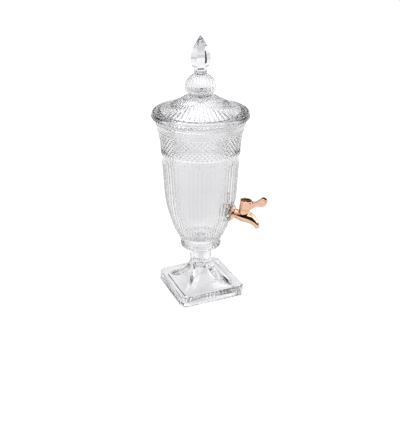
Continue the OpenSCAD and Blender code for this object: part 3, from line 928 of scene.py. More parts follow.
@dataclass
class Bowl:
    """Fluted glass urn with a diamond-cut band, a flared lip and a scalloped collar."""

    foot: float
    lip_z: float
    collar_r: float = 42.0
    collar_h: float = 13.0
    base_r: float = 39.0
    belly_r: float = 72.6
    belly_rise: float = 109.0
    shoulder_r: float = 77.0
    shoulder_rise: float = 78.0
    lip_r: float = 92.5
    wall: float = 6.2
    floor_t: float = 13.0
    floor_round: float = 9.0
    slopes: tuple[float, float, float, float] = (0.56, 0.06, 0.07, 0.5)
    flutes: Pressing = Pressing("flute", Shape.SCOOP, 52, 0.8)
    diamonds: Pressing = Pressing("diamond", Shape.POINT, 52, 1.5)
    scallops: Pressing = Pressing("scallop", Shape.SCOOP, 30, 1.6)
    arch_h: float = 11.0
    arch_gap: float = 2.5
    bead_rise: float = 5.0
    bead_r: float = 2.8
    bead_stand: float = 0.8
    band_rise: float = 10.0
    band_h: float = 40.0
    band_stand: float = 0.4
    diamond_rows: float = 4.5
    columns_each: int = 8
    line_depth: float = 0.3
    line_pitch: float = 3.2
    lines: int = 4
    lip_round: float = 0.9
    lip_gap: float = 0.15
    boss_stand: float = 0.8
    tap_rise: float = 83.5
    collar_lap: float = 0.4
    row_pitch: float = 4.0
    boss_pitch: float = 1.6
    arch_pitch: float = 1.0
    boss_below: float = 26.0
    boss_above: float = 25.0
    seat_above: float = 20.0
    seat_below: float = 18.0
    room_pitches: Triple = (9.0, 1.9, 6.0)
    floor_rows: int = 6
    ring_r: float = 1.4
    ring_gap: float = 1.2
    ring_sink: float = 0.7
    line_gap: float = 0.8
    flare_pitch: float = 2.5
    seat: TapSeat = field(init=False)
    outer_rows: int = field(init=False, default=0)
    band_rows: tuple[int, int] = field(init=False, default=(0, 0))

    def __post_init__(self) -> None:
        """Works out the stations up the wall and the tap's seat."""
        self.wall_z = self.foot + self.collar_h
        self.belly_z = self.wall_z + self.belly_rise
        self.shoulder_z = self.belly_z + self.shoulder_rise
        self.flare_rise = self.lip_z - self.shoulder_z
        self.floor_z = self.wall_z + self.floor_t
        height = self.foot + self.tap_rise
        self.seat = TapSeat(height, self.radius(height) + self.boss_stand)

    def radius(self, z: float) -> float:
        """Outer radius at a height, without pressings."""
        base, belly, shoulder, lip = self.slopes
        if z < self.belly_z:
            t = (z - self.wall_z) / self.belly_rise
            return blend(t, self.belly_rise, self.base_r, base, self.belly_r, belly)
        if z < self.shoulder_z:
            t = (z - self.belly_z) / self.shoulder_rise
            return blend(t, self.shoulder_rise, self.belly_r, belly, self.shoulder_r, shoulder)
        t = (z - self.shoulder_z) / self.flare_rise
        return blend(t, self.flare_rise, self.shoulder_r, shoulder, self.lip_r, lip)

    def room(self, z: float) -> float:
        """Inner radius at a height, rounded into the floor."""
        rest = self.floor_round - min(z - self.floor_z, self.floor_round)
        return self.radius(z) - self.wall - self.floor_round + math.sqrt(self.floor_round**2 - rest**2)

    def _collar(self) -> list[Row]:
        """Rows of the scalloped collar, from the underside's middle."""
        half = self.collar_h / 2
        middle = self.collar_r - half
        end = math.degrees(math.acos((self.base_r - middle) / half))
        rows = [Row(0, self.foot), Row(middle * 0.5, self.foot)]
        for r, z in arc(middle, self.foot + half, half, -90, end, 13):
            runout = min(1.0, (self.collar_r - r) / self.scallops.depth)
            rows.append(Row(r, z, {"scallop_weight": 1.0, "scallop_runout": runout}))
        return rows

    def _fluted(self) -> list[Row]:
        """Rows of the fluted wall, up to the plain strip under the bead."""
        fine = (self.seat.height - self.boss_below, self.seat.height + self.boss_above)
        top = self.shoulder_z - self.arch_gap
        arch = top - self.arch_h
        low = self.wall_z - self.collar_lap
        heights = steps(low, fine[0], self.row_pitch) + steps(*fine, self.boss_pitch)
        heights += steps(fine[1], arch, self.row_pitch) + steps(arch, top, self.arch_pitch)
        rows = []
        for z in heights:
            r = self.radius(z)
            runout = max(0.0, (z - arch) / self.arch_h) ** 2
            rows.append(Row(r, z, {"flute_weight": r / self.belly_r, "flute_runout": runout}))
        rows.append(Row(self.radius(top), top))
        return rows

    def _bead(self) -> list[Row]:
        """Rows of the bead between the flutes and the band."""
        z = self.shoulder_z + self.bead_rise
        middle = self.radius(z) - self.bead_r + self.bead_stand
        lean = math.degrees(math.acos((self.bead_r - self.bead_stand) / self.bead_r))
        return arc_rows(middle, z, self.bead_r, -lean, lean, 9)

    def _band(self) -> list[Row]:
        """Rows of the diamond-cut band."""
        count = round(self.diamond_rows * self.columns_each)
        rows = []
        for k in range(count + 1):
            z = self.shoulder_z + self.band_rise + self.band_h * k / count
            stand = self.band_stand * (1.0 - k / count)
            climb = k / self.columns_each
            edge = 0.0 if k in (0, count) else 1.0
            rows.append(Row(self.radius(z) + stand, z, {"diamond_weight": edge, "diamond_climb": climb}))
        return rows

    def _flare(self) -> list[Row]:
        """Rows of the ring, the fine lines and the lip."""
        low = self.shoulder_z + self.band_rise + self.band_h
        ring_z = low + self.ring_gap + self.ring_r
        rows = arc_rows(self.radius(ring_z) - self.ring_sink, ring_z, self.ring_r, -60, 60, 6)
        start = ring_z + self.ring_r + self.line_gap
        end = start + self.lines * self.line_pitch
        for z in steps(start, end, self.line_pitch / 5):
            wave = 0.5 - 0.5 * math.cos(FULL_TURN * (z - start) / self.line_pitch)
            rows.append(Row(self.radius(z) - self.line_depth * wave, z))
        top = self.lip_z - self.lip_gap
        rows += [Row(self.radius(z), z) for z in steps(end, top - self.lip_round, self.flare_pitch)]
        rows += arc_rows(self.lip_r - self.lip_round, top - self.lip_round, self.lip_round, 0, 90, 3)
        return rows

    def _inside(self) -> list[Row]:
        """Rows of the room inside, from the lip to the floor's middle."""
        top = self.lip_z - self.lip_gap
        edge = self.lip_r - self.wall
        rows = arc_rows(edge + self.lip_round, top - self.lip_round, self.lip_round, 90, 180, 3)
        fine = (self.seat.height + self.seat_above, self.seat.height - self.seat_below)
        low = self.floor_z + self.floor_round
        pitch, count = self.room_pitches, self.floor_rows
        heights = steps(top - 3 * self.lip_round, fine[0], pitch[0]) + steps(*fine, pitch[1])
        heights += steps(fine[1], low, pitch[2])
        heights += [low - self.floor_round * math.sin(0.5 * math.pi * k / count) for k in range(count)]
        rows += [Row(self.room(z), z) for z in heights]
        rows += [Row(self.room(self.floor_z), self.floor_z), Row(0, self.floor_z)]
        return rows

    def _diagonal(self, row: int, column: int) -> int:
        """Cuts faces of the band along the diamonds' edges, so that their points stay crisp."""
        start, end = self.band_rows
        if not start <= row < end:
            return 0
        k, each = row - start, self.columns_each
        if (column - k) % each == 0:
            return 1
        return -1 if (column + k + 1) % each == 0 else 0

    def _press_boss(self, piece: bpy.types.Object, columns: int) -> None:
        """Raises the smooth boss outside and flattens the washer's seat inside.

        Args:
            piece: The bowl before it is pressed.
            columns: Points in each of its rings.
        """
        seat = self.seat
        points = points_of(piece)
        local = seat.local(points)
        reach = np.hypot(local[:, 0], local[:, 2])
        near = np.abs(local[:, 1]) < 4 * self.wall
        outside = np.arange(len(points)) < self.outer_rows * columns
        raised = near & outside
        share = ease(seat.boss_r + seat.boss_edge, seat.boss_r - seat.boss_soft, reach)
        local[raised, 1] *= 1.0 - share[raised]
        flat = near & ~outside
        share_in = ease(seat.seat_r + seat.seat_edge, seat.seat_r, reach)
        local[flat, 1] += (-seat.boss_wall - local[flat, 1]) * share_in[flat]
        set_points(piece, seat.world(local))
        weights = np.empty(len(points), dtype=np.float32)
        attribute = piece.data.attributes["flute_weight"]
        attribute.data.foreach_get("value", weights)
        plain = ease(seat.boss_r + 2 * seat.boss_edge, seat.boss_r + seat.boss_soft, reach)
        weights = np.where(raised, weights * (1.0 - plain), weights)
        attribute.data.foreach_set("value", weights.astype(np.float32))

    def build(self) -> bpy.types.Object:
        """Makes the bowl.

        Returns:
            The piece.
        """
        lower = self._collar() + self._fluted() + self._bead()
        band = self._band()
        flare = self._flare()
        inside = self._inside()
        self.band_rows = (len(lower), len(lower) + len(band) - 1)
        self.outer_rows = len(lower) + len(band) + len(flare) - 1
        columns = self.flutes.count * self.columns_each
        piece = turned("bowl_glass_urn", lower + band + flare + inside, columns, self._diagonal)
        self._press_boss(piece, columns)
        tree = PressTree("bowl_pressings", [self.flutes, self.diamonds, self.scallops])
        tree.press(piece, BOWL_GLASS.material())
        tool = rod("tap_drill", self.seat.hole_r, *self.seat.drill)
        place(tool, self.seat.along())
        cut(piece, tool)
        soften(piece)
        return piece


@dataclass
class Lid:
    """Ribbed glass cone with a beaded rim, a locating ring and a melon-ribbed knop."""

    rim_z: float
    neck_z: float
    ring_r: float
    outer_r: float = 95.0
    rim_h: float = 12.0
    rim_round: float = 2.0
    rim_fillet: float = 5.0
    rise: float = 34.0
    power: float = 1.4
    wall: float = 6.5
    root_r: float = 19.0
    ring_depth: float = 9.0
    ring_w: float = 5.0
    ring_gap: float = 1.2
    ring_bevel: float = 0.8
    ring_fillet: float = 0.6
    under_pitch: float = 4.5
    knop_r: float = 30.3
    knop_lift: float = 10.0
    knop_up: float = 28.0
    knop_down: float = 15.5
    knop_fillet: float = 4.0
    knop_rows: int = 36
    waist_rows: int = 7
    neck_bevel: float = 0.4
    neck_r: float = 12.0
    ribs: Pressing = Pressing("rib", Shape.LOBE, 52, 1.4)
    rib_end: float = 9.0
    rib_gap: float = 0.6
    rib_pitch: float = 2.2
    rib_least: float = 0.25
    melon: Pressing = Pressing("melon", Shape.LOBE, 22, 2.0)
    melon_least: float = 0.35
    melon_rows: float = 8.0
    beads: Pressing = Pressing("bead", Shape.LOBE, 78, 1.2)
    bead_h: float = 4.2
    bead_lift: float = 0.5
    bead_rows: int = 9
    columns: int = 624

    def __post_init__(self) -> None:
        """Works out the heights and the cone's edge."""
        self.top_z = self.rim_z + self.rim_h
        self.edge_r = self.outer_r - self.rim_round
        self.knop_z = self.top_z + self.rise + self.knop_lift

    def cone(self, r: float) -> float:
        """Height of the cone at a radius."""
        return self.top_z + self.rise * ((self.edge_r - r) / (self.edge_r - self.root_r)) ** self.power

    def _under(self) -> list[Row]:
        """Rows of the underside, from its middle to the rim."""
        low = self.rim_z - self.ring_depth
        room_r = self.ring_r - self.ring_w
        rows = [Row(0, self.cone(self.root_r) - self.wall)]
        rows += [Row(r, self.cone(r) - self.wall) for r in steps(self.root_r, room_r, self.under_pitch)]
        rows += [Row(room_r, self.cone(room_r) - self.wall)]
        soft, root = self.ring_bevel, self.ring_fillet
        rows += [Row(room_r, low + soft), Row(room_r + soft, low)]
        rows += [Row(self.ring_r - soft, low), Row(self.ring_r, low + soft)]
        rows += [Row(self.ring_r, self.rim_z - root), Row(self.ring_r + root, self.rim_z)]
        return rows

    def _rim(self) -> list[Row]:
        """Rows of the rim: a row of beads at its foot, a plain face and a round top edge."""
        face = self.outer_r - self.beads.depth
        low = self.rim_z + self.bead_lift
        rows = [Row(face - self.bead_lift, self.rim_z), Row(face, low)]
        for k in range(1, self.bead_rows):
            swell = math.sqrt(1.0 - (2.0 * k / self.bead_rows - 1.0) ** 2)
            z = low + self.bead_h * k / self.bead_rows
            rows.append(Row(face + self.beads.depth * swell, z, {"bead_weight": swell}))
        rows.append(Row(face, low + self.bead_h))
        fillet = self.rim_fillet
        rows += arc_rows(face - fillet, self.top_z - fillet, fillet, 0, 90, 9)
        return rows

    def _ribbed(self, end_r: float) -> list[Row]:
        """Rows of the ribbed cone, from the rim in to the knop."""
        start = self.outer_r - self.beads.depth - self.rim_fillet
        rows = []
        for r in steps(start - self.rib_gap, end_r, self.rib_pitch):
            grown = math.sqrt(min(1.0, (start - r) / self.rib_end))
            share = self.rib_least + (1.0 - self.rib_least) * r / self.outer_r
            rows.append(Row(r, self.cone(r), {"rib_weight": grown * share}))
        return rows

    def _knop(self) -> tuple[float, list[Row]]:
        """Rows of the knop and its neck.

        Returns:
            The radius where the knop meets the cone, and the rows.
        """
        low = self._meeting()
        high = math.degrees(math.acos(self.neck_r / self.knop_r))
        meet_r = self._on_knop(low)[0]
        root_r = meet_r + self.knop_fillet
        start = low + math.degrees(self.knop_fillet / self.knop_down)
        rows = self._waist((root_r, self.cone(root_r)), (meet_r, self.cone(meet_r)), self._on_knop(start))
        for k in range(self.knop_rows + 1):
            angle = start + (high - start) * k / self.knop_rows
            r, z = self._on_knop(angle)
            grown = min(1.0, self.melon_least + k / self.melon_rows)
            rows.append(Row(r, z, {"melon_weight": math.cos(math.radians(angle)) * grown}))
        soft, top = self.neck_bevel, self.neck_z
        rows += [Row(self.neck_r, top - soft), Row(self.neck_r - soft, top), Row(0, top)]
        return root_r, rows

    def _meeting(self) -> float:
        """Angle on the knop, in degrees, at which its underside comes out of the cone."""
        angle = -90.0
        for k in range(900):
            angle = -90.0 + 0.1 * k
            r, z = self._on_knop(angle)
            if r >= self.root_r and z >= self.cone(r):
                break
        return angle

    def _on_knop(self, angle: float) -> Pair:
        """Radius and height on the knop at an angle in degrees, 0 at its widest."""
        a = math.radians(angle)
        tall = self.knop_down if a < 0 else self.knop_up
        return self.knop_r * math.cos(a), self.knop_z + tall * math.sin(a)

    def _waist(self, foot: Pair, corner: Pair, top: Pair) -> list[Row]:
        """Rows of the fillet between the cone and the knop.

        Args:
            foot: Radius and height where it leaves the cone.
            corner: Where the two would meet.
            top: Where it joins the knop.

        Returns:
            The rows, without the top.
        """
        rows = []
        for t in steps(0.0, 1.0, 1 / self.waist_rows):
            shares = ((1.0 - t) ** 2, 2.0 * t * (1.0 - t), t**2)
            r, z = (sum(w * p[k] for w, p in zip(shares, (foot, corner, top))) for k in (0, 1))
            rows.append(Row(r, z, {"melon_weight": self.melon_least * t}))
        return rows

    def build(self) -> bpy.types.Object:
        """Makes the lid.

        Returns:
            The piece.
        """
        root, knop = self._knop()
        rows = self._under() + self._rim() + self._ribbed(root) + knop
        piece = turned("lid_ribbed_cone", rows, self.columns)
        PressTree("lid_pressings", [self.ribs, self.melon, self.beads]).press(piece, LID_GLASS.material())
        soften(piece)
        return piece


@dataclass
class Finial:
    """Six-sided glass bud on a short round neck."""

    low_z: float
    tip_z: float
    neck_r: float = 12.0
    neck_h: float = 3.0
    bud_r: float = 18.6
    bud_belly: float = 20.5
    tip_r: float = 1.5
    neck_slope: float = 0.6
    tip_slope: float = -0.75
    overlap: float = 1.0
    bond: float = 0.05
    sides: int = 6
    side_steps: int = 18
    swell_rows: int = 24
    taper_rows: int = 40
    tip_angles: Pair = (0.9, 1.25)
    neck_bevel: float = 0.5
    panel_run: Pair = (-0.6, 2.4)
    sharp: float = 20.0

    def build(self) -> bpy.types.Object:
        """Makes the finial.

        Returns:
            The piece.
        """
        start = self.low_z + self.neck_h + self.overlap
        wide = self.low_z + self.neck_h + self.bud_belly
        low, soft = self.low_z - self.bond, self.neck_bevel
        rows = [Row(0, low), Row(self.neck_r - soft, low)]
        rows += [Row(self.neck_r, z) for z in steps(self.low_z + soft, start, 1.0)]
        swell = wide - start
        for t in steps(0.0, 1.0, 1 / self.swell_rows):
            r = blend(t, swell, self.neck_r, self.neck_slope, self.bud_r, 0.0)
            rows.append(Row(r, start + swell * t))
        taper = self.tip_z - wide
        for t in steps(0.0, 1.0, 1 / self.taper_rows):
            z = wide + (taper - self.tip_r) * t
            rows.append(Row(blend(t, taper, self.bud_r, 0.0, self.tip_r, self.tip_slope), z))
        for a in self.tip_angles:
            z = self.tip_z - self.tip_r * (1.0 - math.sin(a))
            rows.append(Row(self.tip_r * math.cos(a), z))
        rows.append(Row(0, self.tip_z))
        piece = turned("finial_bud", rows, self.sides * self.side_steps)
        self._facet(piece, start)
        piece.data.materials.append(FINIAL_GLASS.material())
        soften(piece, math.radians(self.sharp))
        return piece

    def _facet(self, piece: bpy.types.Object, start: float) -> None:
        """Presses the bud's round sides flat.

        Args:
            piece: The turned bud.
            start: Height at which the panels begin.
        """
        points = points_of(piece)
        half = math.pi / self.sides
        angle = np.mod(np.arctan2(points[:, 1], points[:, 0]), 2 * half) - half
        flat = math.cos(half) / np.cos(angle)
        low, high = (start + part for part in self.panel_run)
        share = ease(low, high, points[:, 2])
        points[:, :2] *= (1.0 + (flat - 1.0) * share)[:, None]
        set_points(piece, points)
        drop_values(piece)


def tube(name: str, path: np.ndarray, radii: np.ndarray, sides: int = 32) -> bpy.types.Object:
    """Makes a closed tube along a path in the plane x = 0.

    Args:
        name: The piece's name.
        path: Its y and z, one row each.
        radii: Its radius at each.
        sides: Points round it.

    Returns:
        The piece.
    """
    slope = np.gradient(path, axis=0)
    slope /= np.linalg.norm(slope, axis=1)[:, None]
    angles = FULL_TURN * np.arange(sides) / sides
    points = []
    for (y, z), (dy, dz), r in zip(path, slope, radii):
        up = r * np.sin(angles)
        points.append(np.c_[r * np.cos(angles), y - up * dz, z + up * dy])
    piece = mesh_piece(name, np.concatenate(points), ring_faces(len(path), sides))
    mend_normals(piece)
    return piece


def mend_normals(piece: bpy.types.Object) -> None:
    """Points a closed piece's faces outwards."""
    form = bmesh.new()
    form.from_mesh(piece.data)
    bmesh.ops.recalc_face_normals(form, faces=form.faces)
    form.to_mesh(piece.data)
    form.free()


def far_from_path(path: np.ndarray, radii: np.ndarray) -> Field:
    """Signed distance to a tube along a path in the plane x = 0.

    Args:
        path: Its y and z, one row each.
        radii: Its radius at each.

    Returns:
        A function from points to distances.
    """

    def distance(points: np.ndarray) -> np.ndarray:
        """Distance of each point from the tube."""
        best = np.full(len(points), np.inf)
        across = points[:, 0] ** 2
        for (y, z), r in zip(path, radii):
            best = np.minimum(best, np.sqrt(across + (points[:, 1] - y) ** 2 + (points[:, 2] - z) ** 2) - r)
        return best

    return distance


def far_from_slab(path: np.ndarray, radii: np.ndarray, half: float, edge: float) -> Field:
    """Signed distance to a flat-sided form: a row of circles in the plane x = 0, spread to both sides.

    Args:
        path: The circles' y and z, one row each.
        radii: Their radii.
        half: How far the form spreads to each side.
        edge: Rounding of its edges.

    Returns:
        A function from points to distances.
    """

    def distance(points: np.ndarray) -> np.ndarray:
        """Distance of each point from the form."""
        round_about = np.full(len(points), np.inf)
        for (y, z), r in zip(path, radii):
            round_about = np.minimum(round_about, np.hypot(points[:, 1] - y, points[:, 2] - z) - r)
        side = np.abs(points[:, 0]) - half
        corner = np.hypot(np.maximum(round_about + edge, 0.0), np.maximum(side + edge, 0.0))
        return np.minimum(np.maximum(round_about, side), -edge) + corner

    return distance


def slab(name: str, outline: np.ndarray, half: float) -> bpy.types.Object:
    """Makes a flat-sided piece from its outline in the plane x = 0.

    Args:
        name: The piece's name.
        outline: The outline's y and z, one row each.
        half: How far the piece spreads to each side.

    Returns:
        The piece.
    """
    n = len(outline)
    points = np.concatenate([np.c_[np.full(n, x), outline] for x in (-half, half)])
    faces: list[tuple[int, ...]] = [(i, (i + 1) % n, n + (i + 1) % n, n + i) for i in range(n)]
    faces += [tuple(range(n)), tuple(range(2 * n - 1, n - 1, -1))]
    piece = mesh_piece(name, points, faces)
    mend_normals(piece)
    return piece


def far_from_barrel(y: float, low: float, high: float, r_low: float, r_high: float) -> Field:
    """Signed distance to an upright, slightly conical barrel in the tap's frame.

    Args:
        y: Where its axis stands.
        low: Height of its lower end.
        high: Height of its upper end.
        r_low: Radius at its lower end.
        r_high: Radius at its upper end.

    Returns:
        A function from points to distances.
    """

    def distance(points: np.ndarray) -> np.ndarray:
        """Distance of each point from the barrel."""
        radius = r_low + (r_high - r_low) * np.clip((points[:, 2] - low) / (high - low), 0.0, 1.0)
        side = np.hypot(points[:, 0], points[:, 1] - y) - radius
        end = np.maximum(low - points[:, 2], points[:, 2] - high)
        outside = np.hypot(np.maximum(side, 0.0), np.maximum(end, 0.0))
        return outside + np.minimum(np.maximum(side, end), 0.0)

    return distance


def melted(first: Field, second: Field, fillet: float) -> Field:
    """Signed distance to two forms run together with a fillet.

    Args:
        first: Distance to one form.
        second: Distance to the other.
        fillet: Width of the fillet.

    Returns:
        A function from points to distances.
    """

    def distance(points: np.ndarray) -> np.ndarray:
        """Distance of each point from the run-together form."""
        a, b = first(points), second(points)
        overlap = np.maximum(fillet - np.abs(a - b), 0.0) / fillet
        return np.minimum(a, b) - overlap**2 * fillet / 4.0

    return distance


def cast(
    name: str, parts: Sequence[bpy.types.Object], form: Field, grain: float, rounds: int = 4
) -> bpy.types.Object:
    """Fuses rough parts into one skin and settles it on a smooth form.

    Args:
        name: Name of the result.
        parts: Closed rough parts in the tap's frame.
        form: Signed distance to the smooth form.
        grain: Size of the skin's faces.
        rounds: How often the skin is moved onto the form.

    Returns:
        The piece, in the tap's frame.
    """
    piece = join(parts)
    piece.name = name
    modifier = piece.modifiers.new("skin", "REMESH")
    modifier.mode = "VOXEL"
    modifier.voxel_size = grain * MM
    bake_modifiers(piece)
    points = points_of(piece)
    probe = 0.05
    for _ in range(rounds):
        rises = [form(points + probe * axis) - form(points - probe * axis) for axis in np.eye(3)]
        slope = np.stack(rises, axis=1) / (2 * probe)
        steep = np.maximum((slope**2).sum(axis=1), 0.25)
        points -= (form(points) / steep)[:, None] * slope
    set_points(piece, points)
    return piece


def slice_off(piece: bpy.types.Object, at: Triple, beyond: Triple) -> None:
    """Cuts off what lies beyond a plane and closes the cut.

    Args:
        piece: The piece, in the tap's frame.
        at: A point on the plane.
        beyond: The plane's normal, towards what is cut off.
    """
    form = bmesh.new()
    form.from_mesh(piece.data)
    cut_here = bmesh.ops.bisect_plane(
        form,
        geom=form.verts[:] + form.edges[:] + form.faces[:],
        plane_co=Vector(at) * MM,
        plane_no=Vector(beyond),
        clear_outer=True,
    )
    edges = [e for e in cut_here["geom_cut"] if isinstance(e, bmesh.types.BMEdge)]
    bmesh.ops.holes_fill(form, edges=edges, sides=0)
    bmesh.ops.recalc_face_normals(form, faces=form.faces)
    form.to_mesh(piece.data)
    form.free()


@dataclass
class Tap:
    """Rose-gold plug tap: horn-shaped body, wall flange, lever handle and its screw."""

    seat: TapSeat
    washer_t: float = 2.0
    flange_r: float = 15.0
    flange_t: float = 5.0
    flange_edge: float = 1.3
    throat_r: float = 9.0
    hub_reach: float = 22.6
    bulge_r: float = 12.0
    hub_r: float = 11.2
    tower_h: float = 16.5
    bend_start: float = 6.0
    bend_r: float = 29.0
    bend_angle: float = 58.0
    nose_l: float = 4.0
    spout_r: float = 4.3
    spout_slope: float = -0.24
    outlet_r: float = 2.6
    shank_r: float = 8.0
    shank_end: float = -19.0
    inlet_r: float = 4.5
    inlet_l: float = 12.0
    inlet_bevel: float = 0.4
    shank_bevel: float = 0.9
    thread: Pressing = Pressing("thread", Shape.SCOOP, 1, 0.55)
    thread_pitch: float = 1.5
    thread_end: float = -1.0
    thread_lead: float = 2.0
    friction_t: float = 0.8
    handle_h: float = 18.0
    handle_flare: float = 0.4
    recess_rim: float = 1.9
    recess_h: float = 5.0
    # Painted shade: share of the dark sunk colour on faces inside the barrel's recess.
    recess_shade: float = 0.9
    lever_z: float = 9.0
    lever_slope: float = 33.0
    lever_w: float = 11.0
    lever_root_r: float = 6.5
    lever_root_slope: float = -0.3
    lever_bury: float = 6.1
    lever_waist_r: float = 5.0
    lever_waist: float = 14.0
    knob_r: float = 8.2
    lever_l: float = 27.5
    lever_edge: float = 1.2
    screw_r: float = 3.9
    screw_h: float = 2.4
    screw_side: float = 0.45
    # Painted shade: share of the dark sunk colour on the screw's head, which sits in the recess.
    screw_shade: float = 0.5
    cross_reach: float = 0.7
    cross_half: float = 0.16
    cross_floor: float = 0.35
    bond: float = 0.05
    rim_bevel: float = 0.5
    grain: float = 0.45
    fillet: float = 2.0
    lever_fillet: float = 4.0
    horn_spare: float = 5.0
    horn_bury: float = 4.0
    thread_start: float = 0.5
    tip_drop: float = 0.6
    flange_clear: float = 0.08
    flange_slopes: Pair = (-0.4, -1.0)
    flange_rows: int = 10
    lever_rows: int = 72
    cap_rows: int = 24
    cap_gap: float = 0.1
    recess_clear: float = 2.0
    recess_slack: Pair = (0.1, 0.05)
    cast_spare: float = 3.0
    spout_drill: Pair = (-12.0, 3.0)

    def __post_init__(self) -> None:
        """Works out where the barrel stands and how high the handle sits."""
        self.hub_y = self.washer_t + self.hub_reach
        self.flange_front = self.washer_t + self.flange_t
        self.handle_z = self.tower_h + self.friction_t
        self.handle_top = self.handle_z + self.handle_h
        self.metal = ROSE_GOLD.material()

    def _horn(self, extra: float, count: int = 90) -> tuple[np.ndarray, np.ndarray]:
        """Path and radius of the horn.

        Args:
            extra: Length added past the spout's end.
            count: Number of stations.

        Returns:
            Its y and z at each station, and its radius.
        """
        rise = self.hub_reach - self.flange_t
        bend_from = rise + self.bend_start
        bend = self.bend_r * math.radians(self.bend_angle)
        length = bend_from + bend + self.nose_l
        path, radii = [], []
        for s in np.linspace(-self.horn_bury, length + extra, count):
            turn = math.radians(self.bend_angle) * min(max(s - bend_from, 0.0) / bend, 1.0)
            nose = max(s - bend_from - bend, 0.0)
            y = self.flange_front + min(s, bend_from) + self.bend_r * math.sin(turn) + nose * math.cos(turn)
            z = self.bend_r * (math.cos(turn) - 1.0) - nose * math.sin(turn)
            t = min(max(s, 0.0), length)
            if t < rise:
                r = blend(t / rise, rise, self.throat_r, 0.0, self.bulge_r, 0.0)
            else:
                span = length - rise
                r = blend((t - rise) / span, span, self.bulge_r, 0.0, self.spout_r, self.spout_slope)
            path.append((y, z))
            radii.append(r)
        return np.array(path), np.array(radii)

    def _spout_end(self) -> tuple[Triple, Triple]:
        """Middle of the spout's end and the way that it points."""
        a = math.radians(self.bend_angle)
        y = self.hub_y + self.bend_start + self.bend_r * math.sin(a) + self.nose_l * math.cos(a)
        z = self.bend_r * (math.cos(a) - 1.0) - self.nose_l * math.sin(a)
        return (0.0, y, z), (0.0, math.cos(a), -math.sin(a))

    def _barrel(self, name: str, low: float, high: float, r_low: float, r_high: float) -> bpy.types.Object:
        """Makes a rough barrel on the hub's axis, in the tap's frame."""
        piece = turned(name, [Row(0, low), Row(r_low, low), Row(r_high, high), Row(0, high)], SIDES)
        place(piece, Matrix.Translation((0, self.hub_y, 0)))
        return piece

    def _shank(self) -> bpy.types.Object:
        """Makes the threaded shank with its inlet, in the tap's frame."""
        end, r = self.shank_end, self.shank_r
        bore, soft = self.inlet_r, self.inlet_bevel
        rows = [Row(0, end + self.inlet_l), Row(bore, end + self.inlet_l)]
        rows += [Row(bore, end + soft), Row(bore + soft, end), Row(r - self.shank_bevel, end)]
        for y in steps(end + self.thread_start, self.thread_end, self.thread_pitch / 8):
            depth = min(1.0, (y - end) / self.thread_lead)
            marks = {"thread_weight": depth, "thread_climb": (y - end) / self.thread_pitch}
            rows.append(Row(min(r, r - self.tip_drop + (y - end) / 2), y, marks))
        rows += [Row(r, self.thread_end), Row(r, self.flange_front), Row(0, self.flange_front)]
        piece = turned("tap_shank", rows, SIDES)
        PressTree("shank_thread", [self.thread]).press(piece, self.metal)
        place(piece, Matrix.Rotation(-math.pi / 2, 4, "X"))
        return piece

    def body(self) -> bpy.types.Object:
        """Makes the tap's body.

        Returns:
            The piece.
        """
        path, radii = self._horn(self.horn_spare)
        tower = (0.0, self.tower_h + self.cast_spare, self.hub_r, self.hub_r)
        parts = [tube("tap_horn", path, radii), self._barrel("tap_tower", *tower)]
        form = melted(far_from_path(path, radii), far_from_barrel(self.hub_y, *tower), self.fillet)
        piece = cast("tap_body_horn", parts, form, self.grain)
        slice_off(piece, (0, self.hub_y, self.tower_h), (0, 0, 1))
        end, way = self._spout_end()
        slice_off(piece, end, way)
        slice_off(piece, (0, self.flange_front - self.cast_spare, 0), (0, -1, 0))
        drill = rod("spout_drill", self.outlet_r, *self.spout_drill, SIDES)
        aim = Vector((0, 0, 1)).rotation_difference(Vector(way)).to_matrix().to_4x4()
        place(drill, Matrix.Translation(end) @ aim)
        cut(piece, drill)
        piece = join([piece, self._shank()])
        piece.name = "tap_body_horn"
        return self._dressed(piece)

    def flange(self) -> bpy.types.Object:
        """Makes the wall flange.

        Returns:
            The piece.
        """
        edge, r, bore = self.flange_edge, self.flange_r, self.shank_r + self.flange_clear
        rows = [Row(0, 1.0), Row(bore, 1.0), Row(bore, 0.0), Row(r - edge, 0.0)]
        rows += arc_rows(r - edge, edge, edge, -75, 75, 10)
        rows += [Row(r - 2 * edge + 0.2, 2 * edge), Row(r - 2 * edge - 0.3, 2 * edge + 0.25)]
        low_z, high_z = 2 * edge + 0.3, self.flange_t
        low_r, high_r = r - 2 * edge - 0.6, self.throat_r + 0.2
        first, last = self.flange_slopes
        for t in steps(0.0, 1.0, 1 / self.flange_rows):
            rows.append(Row(blend(t, 1.0, low_r, first, high_r, last), low_z + (high_z - low_z) * t))
        rows += [Row(high_r, high_z), Row(0, high_z)]
        piece = turned("wall_flange_trim", rows, FINE_SIDES)
        place(piece, Matrix.Translation((0, self.washer_t, 0)) @ Matrix.Rotation(-math.pi / 2, 4, "X"))
        return self._dressed(piece)

    def _lever(self) -> tuple[np.ndarray, np.ndarray, np.ndarray]:
        """Path and half height of the lever, and its outline seen from the side.

        Returns:
            Its y and z at each station, its half height there, and the outline's y and z.
        """
        slope = math.radians(self.lever_slope)
        start = np.array((self.hub_y + self.hub_r, self.handle_z + self.lever_z))
        way = np.array((math.cos(slope), math.sin(slope)))
        up = np.array((-way[1], way[0]))
        stations = np.linspace(-self.lever_bury, self.lever_l, self.lever_rows)
        first, swell = self.lever_waist, self.lever_l - self.lever_waist
        halves = []
        for s in np.maximum(stations, 0.0):
            if s < first:
                root = (self.lever_root_r, self.lever_root_slope)
                halves.append(blend(s / first, first, *root, self.lever_waist_r, 0.0))
            else:
                halves.append(blend((s - first) / swell, swell, self.lever_waist_r, 0.0, self.knob_r, 0.0))
        path, radii = start + stations[:, None] * way, np.array(halves)
        turns = np.linspace(self.cap_gap, math.pi - self.cap_gap, self.cap_rows)[:, None]
        cap = path[-1] + self.knob_r * (np.sin(turns) * way + np.cos(turns) * up)
        offset = radii[:, None] * up
        return path, radii, np.concatenate([path + offset, cap, (path - offset)[::-1]])

